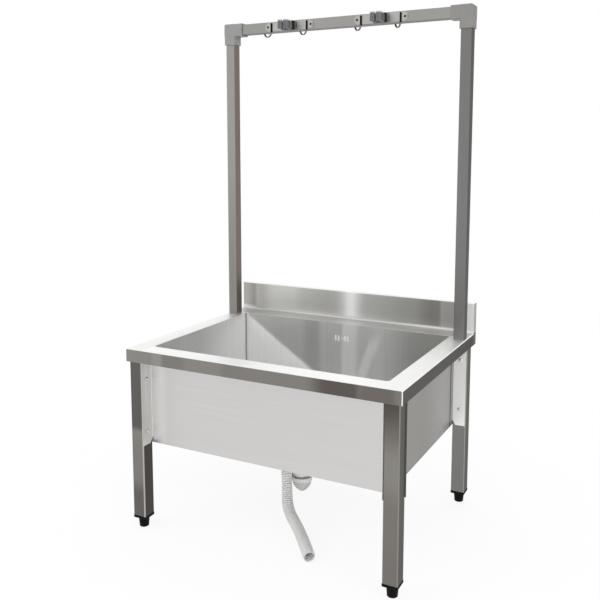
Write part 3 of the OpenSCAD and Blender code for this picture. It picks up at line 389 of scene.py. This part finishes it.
        "hex": "#e4e4e2", "roughness": 0.16, "grain": (200, 200, 200),
        "streakAlong": (3, 3, 3), "streak": 0.02,
        "zones": [("#c9c8c5", 1.0, [(back, -0.20, -0.28), (up, 0.575, 0.565), (up, 0.30, 0.31)])],
    },
    # screws coloured dark: dark dots on the rails
    "darkRailScrew": {
        "nodes": ["rail_screws"], "hex": "#3d3b3a", "roughness": 0.28, "grain": (200, 200, 200),
        "streakAlong": (3, 3, 3), "streak": 0.02, "zones": [],
    },
    # yellowish zinc, hidden in the legs
    "zincPlatedNut": {
        "nodes": ["rivet_nuts"], "hex": "#c9bf9a", "roughness": 0.35, "grain": (200, 200, 200),
        "streakAlong": (8, 8, 8), "streak": 0.06, "zones": [],
    },
}


# Noise lies mostly between these two values, which each range below is stretched over
noiseSpan = {"From Min": 0.3, "From Max": 0.7}

# What all steel looks share: their two noises, how far the fine lines change colour and
# roughness, and how strong and deep the lines are as relief
steelGrain = {
    "lines": {"Scale": 1.0, "Detail": 3.0, "Roughness": 0.6},
    "streaks": {"Scale": 1.0, "Detail": 1.5, "Roughness": 0.4},
    "colourSpread": 0.035, "roughSpread": 0.04, "relief": 0.12, "depth": 0.0002,
}


# Mixes the look's zones over its base colour, each by its share times the product of its steps
def paintZones(tree, place, look):
    colour = addNode(tree, "ShaderNodeRGB")
    colour.outputs[0].default_value = linear(look["hex"])
    last = (colour, 0)
    for hexColour, share, steps in look["zones"]:
        weight = None
        for direction, low, high in steps:
            along = addNode(tree, "ShaderNodeVectorMath",
                            {"operation": "DOT_PRODUCT", 1: direction}, {0: (place, "Object")})
            step = addNode(tree, "ShaderNodeMapRange",
                           {"interpolation_type": "SMOOTHSTEP", "From Min": low, "From Max": high},
                           {"Value": (along, "Value")})
            if weight is not None:
                step = addNode(tree, "ShaderNodeMath", {"operation": "MULTIPLY"},
                               {0: weight, 1: (step, 0)})
            weight = (step, 0)
        part = addNode(tree, "ShaderNodeMath", {"operation": "MULTIPLY", 1: share}, {0: weight})
        mixed = addNode(tree, "ShaderNodeMix", {"data_type": "RGBA"}, {0: (part, 0), 6: last})
        mixed.inputs[7].default_value = linear(hexColour)
        last = (mixed, 2)
    return last


# Steel: fine lines along the grain, slow streaks, and a roughness that follows the lines
def steelMaterial(name, look):
    material, tree, place = startMaterial(name)
    painted = paintZones(tree, place, look)
    grainPlace = addNode(tree, "ShaderNodeMapping", {"Scale": look["grain"]},
                         {"Vector": (place, "Object")})
    grain = addNode(tree, "ShaderNodeTexNoise", steelGrain["lines"], {"Vector": (grainPlace, 0)})
    streakPlace = addNode(tree, "ShaderNodeMapping", {"Scale": look["streakAlong"]},
                          {"Vector": (place, "Object")})
    streak = addNode(tree, "ShaderNodeTexNoise", steelGrain["streaks"],
                     {"Vector": (streakPlace, 0)})
    fine = addNode(tree, "ShaderNodeMapRange",
                   {**noiseSpan, "To Min": 1 - steelGrain["colourSpread"],
                    "To Max": 1 + steelGrain["colourSpread"]}, {"Value": (grain, 0)})
    slow = addNode(tree, "ShaderNodeMapRange",
                   {**noiseSpan, "To Min": 1 - look["streak"], "To Max": 1 + look["streak"]},
                   {"Value": (streak, 0)})
    both = addNode(tree, "ShaderNodeMath", {"operation": "MULTIPLY"}, {0: (fine, 0), 1: (slow, 0)})
    colour = addNode(tree, "ShaderNodeVectorMath", {"operation": "SCALE"},
                     {0: painted, "Scale": (both, 0)})
    rough = addNode(tree, "ShaderNodeMapRange",
                    {**noiseSpan, "To Min": look["roughness"] - steelGrain["roughSpread"],
                     "To Max": look["roughness"] + steelGrain["roughSpread"]},
                    {"Value": (grain, 0)})
    bump = addNode(tree, "ShaderNodeBump",
                   {"Strength": steelGrain["relief"], "Distance": steelGrain["depth"]},
                   {"Height": (grain, 0)})
    shader = addNode(tree, "ShaderNodeBsdfPrincipled", {"Metallic": 1.0},
                     {"Base Color": (colour, 0), "Roughness": (rough, 0), "Normal": (bump, 0)})
    if "metalZones" in look:
        metal = paintZones(tree, place, {"hex": "#ffffff", "zones": look["metalZones"]})
        tree.links.new(metal[0].outputs[metal[1]], shader.inputs["Metallic"])
    if "edgeZones" in look:
        edge = paintZones(tree, place, {"hex": look["edgeHex"], "zones": look["edgeZones"]})
        tree.links.new(edge[0].outputs[edge[1]], shader.inputs["Specular Tint"])
    elif "edgeHex" in look:
        shader.inputs["Specular Tint"].default_value = linear(look["edgeHex"])
    addNode(tree, "ShaderNodeOutputMaterial", links={"Surface": (shader, 0)})
    return material


# Moulded plastics and rubber. Grit is the mould's texture, in grains per metre: 600 draws grains
# of about 2 mm, coarser than the real 0.1 mm so that they show, with relief as its strength.
# Drift is how far the colour wanders, and letsThrough the share of light that passes the wall.
plasticLooks = {
    # glass-filled nylon with a fine moulded texture: a matt grey, with painted shade on the right
    # one and more on its outer face
    "mouldedConnector": {
        "nodes": ["corner_left", "corner_right"], "hex": "#8c8d8b", "roughness": 0.50, "ior": 1.50,
        "grit": 700, "relief": 0.10, "drift": 0.03,
        "zones": [("#83827f", 1.0, [(right, 0.0, 0.2)]),
                  ("#747370", 0.8, [(right, 0.4485, 0.4495)])],
    },
    # moulded nylon jaws: grey, with a painted highlight on their top edges
    "mouldedClip": {
        "nodes": ["jaw_left_a", "jaw_left_b", "jaw_right_a", "jaw_right_b"],
        "hex": "#6a686b", "roughness": 0.42, "ior": 1.48,
        "grit": 900, "relief": 0.10, "drift": 0.05,
        "zones": [("#c9c8c9", 0.9, [(up, 1.6185, 1.6205)])],
    },
    # the same nylon, nearly black, partly its own colour and partly painted shade beside the jaws
    "mouldedClipBase": {
        "nodes": ["clip_base_left", "clip_base_right"],
        "hex": "#2a292a", "roughness": 0.45, "ior": 1.48,
        "grit": 900, "relief": 0.10, "drift": 0.05, "zones": [],
    },
    # moulded black polyethylene: no clear mirror, only soft dark faces
    "blackFootPlastic": {
        "nodes": ["leg_end_front_left", "leg_end_front_right", "leg_end_rear_left",
                  "leg_end_rear_right", "foot_front_left", "foot_front_right", "foot_rear_left",
                  "foot_rear_right", "leg_top_caps"],
        "hex": "#090808", "roughness": 0.55, "ior": 1.42, "shine": 0.12,
        "grit": 600, "relief": 0.18, "drift": 0.08, "zones": [],
    },
    # moulded ABS: small white lips
    "whiteOverflowTrim": {
        "nodes": [], "hex": "#ffffff", "roughness": 0.30, "ior": 1.49, "grit": 500, "relief": 0.04,
        "drift": 0.01, "zones": [],
    },
    # EPDM: flat dark rings
    "sealRubber": {
        "nodes": ["overflow_gasket", "waste_gasket"],
        "hex": "#2a2a2a", "roughness": 0.75, "ior": 1.52,
        "grit": 500, "relief": 0.15, "drift": 0.06, "zones": [],
    },
    # moulded waste and trap: soft white with a slight sheen
    "whitePolypropylene": {
        "nodes": ["overflow_housing", "waste_body", "trap_nut", "trap_head", "outlet_nut",
                  "trap_elbow"],
        "hex": "#dededb", "roughness": 0.38, "ior": 1.49,
        "grit": 500, "relief": 0.06, "drift": 0.02, "zones": [],
    },
    # smooth polypropylene, slightly see-through: grey with a clean highlight
    "greyTrapCup": {
        "nodes": ["trap_cup"], "hex": "#d9d9d8", "roughness": 0.16, "ior": 1.49, "grit": 400,
        "relief": 0.04, "drift": 0.03, "zones": [], "letsThrough": 0.15,
    },
    # the same, with a dark line under it
    "greyTrapRing": {
        "nodes": ["trap_ring"], "hex": "#e4e4e3", "roughness": 0.32, "ior": 1.49, "grit": 500,
        "relief": 0.06, "drift": 0.03, "zones": [("#6f6f6e", 0.9, [(up, 0.1315, 0.1335)])],
    },
    # blown polyethylene: pale, a little light through it, with painted shade in its furrows and on
    # its low run
    "corrugatedHose": {
        "nodes": [], "hex": "#fbfbfa", "roughness": 0.34, "ior": 1.50, "grit": 300, "relief": 0.05,
        "drift": 0.03, "furrowHex": "#dededd", "letsThrough": 0.15,
        "zones": [("#dededd", 1.0, [(up, 0.125, 0.045)])],
    },
}


# What all plastic looks share: how coarse the drift is, how far the grit changes the roughness,
# how deep it is, and the shader's usual strength of mirrored light
plasticGrain = {"drift": {"Scale": 14.0, "Detail": 2.0}, "gritDetail": 2.0, "roughSpread": 0.05,
                "depth": 0.0003, "shine": 0.5}


# Plastic: zones of colour, slow drift in it, and the mould's fine texture as relief
def plasticMaterial(name, look):
    material, tree, place = startMaterial(name)
    painted = paintZones(tree, place, look)
    # furrowHex is painted shade in a hose's furrows, as deep as the furrow attribute on its mesh
    if "furrowHex" in look:
        furrow = addNode(tree, "ShaderNodeAttribute", {"attribute_name": "furrow"})
        furrowShade = addNode(tree, "ShaderNodeMix", {"data_type": "RGBA"},
                       {0: (furrow, "Fac"), 6: painted})
        furrowShade.inputs[7].default_value = linear(look["furrowHex"])
        painted = (furrowShade, 2)
    drift = addNode(tree, "ShaderNodeTexNoise", plasticGrain["drift"],
                    {"Vector": (place, "Object")})
    level = addNode(tree, "ShaderNodeMapRange",
                    {**noiseSpan, "To Min": 1 - look["drift"], "To Max": 1 + look["drift"]},
                    {"Value": (drift, 0)})
    colour = addNode(tree, "ShaderNodeVectorMath", {"operation": "SCALE"},
                     {0: painted, "Scale": (level, 0)})
    grit = addNode(tree, "ShaderNodeTexNoise",
                   {"Scale": look["grit"], "Detail": plasticGrain["gritDetail"]},
                   {"Vector": (place, "Object")})
    rough = addNode(tree, "ShaderNodeMapRange",
                    {**noiseSpan, "To Min": look["roughness"] - plasticGrain["roughSpread"],
                     "To Max": look["roughness"] + plasticGrain["roughSpread"]},
                    {"Value": (grit, 0)})
    bump = addNode(tree, "ShaderNodeBump",
                   {"Strength": look["relief"], "Distance": plasticGrain["depth"]},
                   {"Height": (grit, 0)})
    shine = look.get("shine", plasticGrain["shine"])
    shader = addNode(tree, "ShaderNodeBsdfPrincipled",
                     {"IOR": look["ior"], "Specular IOR Level": shine},
                     {"Base Color": (colour, 0), "Roughness": (rough, 0), "Normal": (bump, 0)})
    if "letsThrough" in look:
        glow = addNode(tree, "ShaderNodeBsdfTranslucent", None, {"Color": (colour, 0)})
        shader = addNode(tree, "ShaderNodeMixShader", {"Fac": look["letsThrough"]},
                         {1: (shader, 0), 2: (glow, 0)})
    addNode(tree, "ShaderNodeOutputMaterial", links={"Surface": (shader, 0)})
    return material


finishes = {}
for looks, make in ((steelLooks, steelMaterial), (plasticLooks, plasticMaterial)):
    for name, look in looks.items():
        finishes[name] = make(name, look)
        for nodeName in look["nodes"]:
            slots = nodes[nodeName].material_slots
            for slot in slots:
                slot.material = finishes[name]
            if not slots:
                nodes[nodeName].data.materials.append(finishes[name])
print("finishes ready:", len(finishes))


# A smooth curve through points, with perPoint places from each to the next: between two points
# it is the cubic whose slope at each point is half the way from the point before to the one after
def smoothRoute(points, perPoint):
    points = np.array(points, float)
    before = np.vstack([points[:1], points[:-2]])
    start, stop = points[:-1], points[1:]
    after = np.vstack([points[2:], points[-1:]])
    t = (np.arange(perPoint) / perPoint)[None, :, None]
    b, s, e, a = (p[:, None, :] for p in (before, start, stop, after))
    curve = 0.5 * (2 * s + (e - b) * t + (2 * b - 5 * s + 4 * e - a) * t ** 2
                   + (3 * s - b - 3 * e + a) * t ** 3)
    return np.vstack([curve.reshape(-1, 3), points[-1:]])


# Places at given lengths along a route, and the direction at each, from a place just behind it
# to one just ahead
def walk(route, lengths):
    steps = np.linalg.norm(np.diff(route, axis=0), axis=1)
    done = np.concatenate([[0], np.cumsum(steps)])
    at = np.stack([np.interp(lengths, done, route[:, k]) for k in range(3)], 1)
    reach = 0.0015  # metres
    ahead = np.stack([np.interp(lengths + reach, done, route[:, k]) for k in range(3)], 1)
    behind = np.stack([np.interp(lengths - reach, done, route[:, k]) for k in range(3)], 1)
    way = ahead - behind
    return at, way / np.linalg.norm(way, axis=1)[:, None]


# A tube's surface: circles of the given radii, square to the route. A point on one is its middle
# plus the radius times (cosine of the angle along one side + sine of it along the other).
def sweepBand(at, way, side, radii, around):
    across = np.cross(way, side)
    across /= np.linalg.norm(across, axis=1)[:, None]
    other = np.cross(across, way)
    angle = np.linspace(0, 2 * np.pi, around, endpoint=False)[None, :, None]
    circle = np.cos(angle) * other[:, None, :] + np.sin(angle) * across[:, None, :]
    return at[:, None, :] + radii[:, None, None] * circle


# An object from a grid of points. Its rows are closed rings; with closeRows the last row joins
# the first, so a tube runs up its outside and back down its bore. Where the enclosed volume
# comes out negative, the faces look inwards and are turned.
def bandMesh(name, grid, closeRows=True):
    rows, columns = grid.shape[:2]
    i = np.arange(rows if closeRows else rows - 1)[:, None]
    j = np.arange(columns)[None, :]
    nextRow, nextColumn = (i + 1) % rows, (j + 1) % columns
    faces = np.stack([i * columns + j, i * columns + nextColumn,
                      nextRow * columns + nextColumn, nextRow * columns + j], -1).reshape(-1, 4)
    points = grid.reshape(-1, 3)
    corners = [points[faces[:, k]] - points.mean(0) for k in range(4)]
    volume = sum((np.cross(corners[0], corners[k]) * corners[k + 1]).sum() for k in (1, 2))
    if volume < 0:
        faces = faces[:, ::-1]
    mesh = bpy.data.meshes.new(name)
    mesh.from_pydata(points.tolist(), [], faces.tolist())
    mesh.update()
    mesh.shade_smooth()
    piece = bpy.data.objects.new(name, mesh)
    bpy.context.scene.collection.objects.link(piece)
    return piece


# The drain hose lies where the frame's hose lies: straight out of the elbow's arm, which is
# turned and tilted in degrees, then through the route's points. Its ribs are deep by the trap and
# fade to shallow ones between fadeFrom and fadeTo; crest is how flat they are on top. The last
# line says how finely it is drawn: points around, places per rib and per point of the route.
drainHose = {
    "routeMm": [
        (-32.3, -85.3, 113.7), (-26.8, -94.7, 96.2), (-20.1, -105.8, 81.5), (-11.4, -117.9, 69.0),
        (0.0, -129.9, 58.6), (13.6, -141.8, 50.1), (28.5, -153.6, 43.6), (43.5, -166.1, 39.0),
        (57.8, -179.9, 35.8), (71.3, -194.6, 33.7), (84.5, -209.7, 32.3), (97.6, -225.0, 31.2),
        (110.7, -240.2, 29.7), (123.6, -255.5, 27.6), (136.5, -270.6, 24.5), (149.7, -285.3, 20.5),
    ],
    "elbowAt": (-51.878, -57.153, 194.0),
    "turn": 36.0, "tilt": 22.5, "armMm": 30.15, "straightMm": (0, 17.04, 35.97),
    "outer": 0.036, "bore": 0.029, "ribPitch": 0.0075, "ribDepth": 0.0028,
    "crest": 2.2, "shallow": 0.22, "fadeFrom": 0.085, "fadeTo": 0.150, "plainEnd": 0.010,
    "around": 56, "perRib": 8, "perPoint": 12, "boreStep": 0.004,
}


# Radius along a hose. The wave is a cosine once per rib, flattened by a hyperbolic tangent and
# brought to 0 at a root and 1 at a crest; the rib's depth fades along the hose, and both ends
# are plain.
def ribProfile(lengths, total, spec):
    phase = (lengths - spec["plainEnd"]) / spec["ribPitch"]
    crest = spec["crest"]
    wave = 0.5 + 0.5 * np.tanh(crest * np.cos(2 * np.pi * (phase - 0.5))) / np.tanh(crest)
    fade = np.clip((lengths - spec["fadeFrom"]) / (spec["fadeTo"] - spec["fadeFrom"]), 0, 1)
    depth = spec["ribDepth"] * (1 - (1 - spec["shallow"]) * fade * fade * (3 - 2 * fade))
    ends = np.clip(np.minimum(lengths, total - lengths) / spec["plainEnd"], 0, 1)
    return spec["outer"] / 2 - depth * (1 - wave * ends * ends)


# The hose as one closed band, with how deep each point lies in a furrow, where the material
# paints shade
def ribbedHose(name, route, side, spec):
    total = float(np.linalg.norm(np.diff(route, axis=0), axis=1).sum())
    outerAt = np.linspace(0, total, int(total / spec["ribPitch"] * spec["perRib"]))
    innerAt = np.linspace(total, 0, int(total / spec["boreStep"]))
    lengths = np.concatenate([outerAt, innerAt])
    bore = np.full(len(innerAt), spec["bore"] / 2)
    radii = np.concatenate([ribProfile(outerAt, total, spec), bore])
    at, way = walk(route, lengths)
    piece = bandMesh(name, sweepBand(at, way, np.array(side, float), radii, spec["around"]))
    deep = np.clip((spec["outer"] / 2 - radii) / spec["ribDepth"], 0, 1)
    deep[len(outerAt):] = 0
    furrow = piece.data.attributes.new("furrow", "FLOAT", "POINT")
    furrow.data.foreach_set("value", np.repeat(deep, spec["around"]).astype(np.float32))
    piece.data.materials.append(finishes["corrugatedHose"])
    return piece, total


def makeDrainHose():
    turn, tilt = np.radians(drainHose["turn"]), np.radians(drainHose["tilt"])
    outward = np.array([-np.cos(turn), -np.sin(turn), 0])  # square to the elbow's arm
    down = np.array([np.sin(turn) * np.sin(tilt), -np.cos(turn) * np.sin(tilt), -np.cos(tilt)])
    start = np.array(drainHose["elbowAt"]) + drainHose["armMm"] * down
    points = [start + step * down for step in drainHose["straightMm"]] + list(drainHose["routeMm"])
    route = smoothRoute(np.array(points) / 1000, drainHose["perPoint"])
    piece, total = ribbedHose("drainHoseRibbed", route, outward, drainHose)
    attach(piece, "frame")
    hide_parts("drain_hose")
    print("drain hose:", round(total, 4), "m")


# The overflow hose drops behind the bowl in steps of fallStep, bends forward in steps of
# turnStep degrees and runs level to the waste's inlet; sideShare of its way to the side is done
# in the bend
overflowHose = {
    "top": (0.0, 0.275, 0.49185), "level": 0.285, "bend": 0.062, "endX": -0.009, "endY": 0.03115,
    "fallStep": 0.024, "aboveBend": 0.012, "turnStep": 12, "runSteps": 8, "sideShare": 0.25,
    "outer": 0.022, "bore": 0.016, "ribPitch": 0.0064, "ribDepth": 0.0014, "crest": 2.2,
    "shallow": 1.0, "fadeFrom": 1.0, "fadeTo": 2.0, "plainEnd": 0.008,
    "around": 40, "perRib": 6, "perPoint": 12, "boreStep": 0.004,
}


def makeOverflowHose():
    x0, y0, topZ = overflowHose["top"]
    level, bend = overflowHose["level"], overflowHose["bend"]
    endX, share = overflowHose["endX"], overflowHose["sideShare"]
    drops = np.arange(topZ, level + bend + overflowHose["aboveBend"], -overflowHose["fallStep"])
    fall = np.stack([np.full(len(drops), x0), np.full(len(drops), y0), drops], 1)
    angle = np.radians(np.arange(0, 90, overflowHose["turnStep"]))
    quarter = np.stack([endX * (1 - np.cos(angle)) * share, y0 - bend * (1 - np.cos(angle)),
                        level + bend * (1 - np.sin(angle))], 1)
    count = overflowHose["runSteps"]
    u = np.arange(1, count + 1) / count
    ease = u * u * (3 - 2 * u)
    run = np.stack([endX * (share + (1 - share) * ease),
                    (y0 - bend) * (1 - u) + overflowHose["endY"] * u, np.full(count, level)], 1)
    route = smoothRoute(np.vstack([fall, quarter, run]), overflowHose["perPoint"])
    piece, total = ribbedHose("overflowHoseRibbed", route, right, overflowHose)
    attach(piece, "frame")
    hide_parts("overflow_hose")
    print("overflow hose:", round(total, 4), "m")


# Carries a closed outline along a path. A point of a ring is the path's point plus the outline's
# first offset along the given side and its second along the direction across side and path;
# both ends shrink to their middle and are closed.
def carriedStrip(path, outline, side):
    way = np.gradient(path, axis=0)
    way /= np.linalg.norm(way, axis=1)[:, None]
    side = np.broadcast_to(np.array(side, float), way.shape)
    across = np.cross(way, side)
    across /= np.linalg.norm(across, axis=1)[:, None]
    rings = (path[:, None, :] + outline[None, :, :1] * side[:, None, :]
             + outline[None, :, 1:] * across[:, None, :])
    first, last = rings[:1].mean(1, keepdims=True), rings[-1:].mean(1, keepdims=True)
    return np.concatenate([first + 0 * rings[:1], rings, last + 0 * rings[-1:]])


# A rectangle with round corners, as offsets from its middle: each corner is a quarter circle
# round a point one radius in from both sides
def roundedOutline(width, height, radius, perCorner):
    turn = np.linspace(0, np.pi / 2, perCorner)
    corners = []
    for k, (sx, sy) in enumerate(((1, 1), (-1, 1), (-1, -1), (1, -1))):
        angle = turn + k * np.pi / 2
        middle = np.array([sx * (width / 2 - radius), sy * (height / 2 - radius)])
        corners.append(middle + radius * np.stack([np.cos(angle), np.sin(angle)], 1))
    return np.vstack(corners)


# Joins pieces made of grids into one object and welds points closer than weldWithin, in metres,
# which closes their ends
weldWithin = 0.00002


def joinPieces(name, pieces):
    whole = bmesh.new()
    for piece in pieces:
        whole.from_mesh(piece.data)
        mesh = piece.data
        bpy.data.objects.remove(piece)
        bpy.data.meshes.remove(mesh)
    bmesh.ops.remove_doubles(whole, verts=whole.verts, dist=weldWithin)
    bmesh.ops.recalc_face_normals(whole, faces=whole.faces)
    mesh = bpy.data.meshes.new(name)
    whole.to_mesh(mesh)
    whole.free()
    mesh.shade_smooth()
    piece = bpy.data.objects.new(name, mesh)
    bpy.context.scene.collection.objects.link(piece)
    return piece


# Each hook is one bent strip: a strap down the rail's plate, then a J that hangs below the bar.
# sides has the middle of each rail, and pitch is the distance between a rail's two hooks.
# reachDrop is a hook's side view in millimetres: out from the plate, and up from the bar's middle.
toolHooks = {
    "sides": {"left": -0.189, "right": 0.147},
    "pitch": 0.137, "plateY": 0.2225, "barZ": 1.6085,
    "width": 0.006, "thick": 0.0029, "corner": 0.0008, "perCorner": 4, "perPoint": 5,
    "reachDrop": [
        (0.0, 13.0), (0.0, 6.0), (0.0, -2.0), (0.0, -10.0), (0.0, -16.0), (1.6, -21.5),
        (5.5, -27.5), (11.5, -32.5), (19.0, -36.6), (27.0, -38.4), (34.5, -37.6), (41.0, -34.6),
        (46.5, -30.0),
    ],
}


def makeToolHooks():
    outline = roundedOutline(toolHooks["width"], toolHooks["thick"], toolHooks["corner"],
                             toolHooks["perCorner"])
    reach = np.array(toolHooks["reachDrop"]) / 1000
    for side, railX in toolHooks["sides"].items():
        strips = []
        for end in (-0.5, 0.5):
            x = np.full(len(reach), railX + end * toolHooks["pitch"])
            y = toolHooks["plateY"] - toolHooks["thick"] / 2 - reach[:, 0]
            bends = np.stack([x, y, toolHooks["barZ"] + reach[:, 1]], 1)
            path = smoothRoute(bends, toolHooks["perPoint"])
            strips.append(bandMesh("strip", carriedStrip(path, outline, right), closeRows=False))
        piece = joinPieces("toolHooks_" + side, strips)
        piece.data.materials.append(finishes["darkHookStrip"])
        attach(piece, "frame")
        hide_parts("hooks_" + side)
    print("tool hooks ready")


# Moulded lips round the four overflow slots, which lie at steps of pitch from the middle. A lip
# is its small outline carried round a ring, which is a half circle round each end of the slot,
# and stands about a millimetre proud of the bowl's wall.
overflowLips = {
    "pitch": 0.0115, "steps": (-2, -1, 1, 2), "slotWidth": 0.0040, "slotLength": 0.0190,
    "wallY": 0.260, "middleZ": 0.526, "lip": 0.0024, "gap": 0.0004, "proud": 0.0012,
    "deep": 0.0002, "corner": 0.0005, "perCorner": 4, "around": 40,
}


def makeOverflowLips():
    spec = overflowLips
    thick = spec["proud"] + spec["deep"]
    lip = roundedOutline(spec["lip"], thick, spec["corner"], spec["perCorner"])
    turn = np.linspace(0, 2 * np.pi, spec["around"], endpoint=False)
    radius = spec["gap"] + spec["lip"] / 2
    half = spec["slotLength"] / 2 - spec["slotWidth"] / 2
    end = np.where(np.sin(turn) >= 0, half, -half)
    ring = np.stack([radius * np.cos(turn), end + radius * np.sin(turn)], 1)
    outward = np.stack([np.cos(turn), np.sin(turn)], 1)
    middleY = spec["wallY"] + (spec["deep"] - spec["proud"]) / 2
    lips = []
    for step in spec["steps"]:
        flat = ring[:, None, :] + outward[:, None, :] * lip[None, :, :1]
        x = step * spec["pitch"] + flat[..., 0]
        z = spec["middleZ"] + flat[..., 1]
        y = middleY + np.broadcast_to(lip[None, :, 1], x.shape)
        lips.append(bandMesh("lip", np.stack([x, y, z], -1)))
    piece = joinPieces("overflowLips", lips)
    piece.data.materials.append(finishes["whiteOverflowTrim"])
    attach(piece, "frame")
    print("overflow lips ready")


makeDrainHose()
makeOverflowHose()
makeToolHooks()
makeOverflowLips()
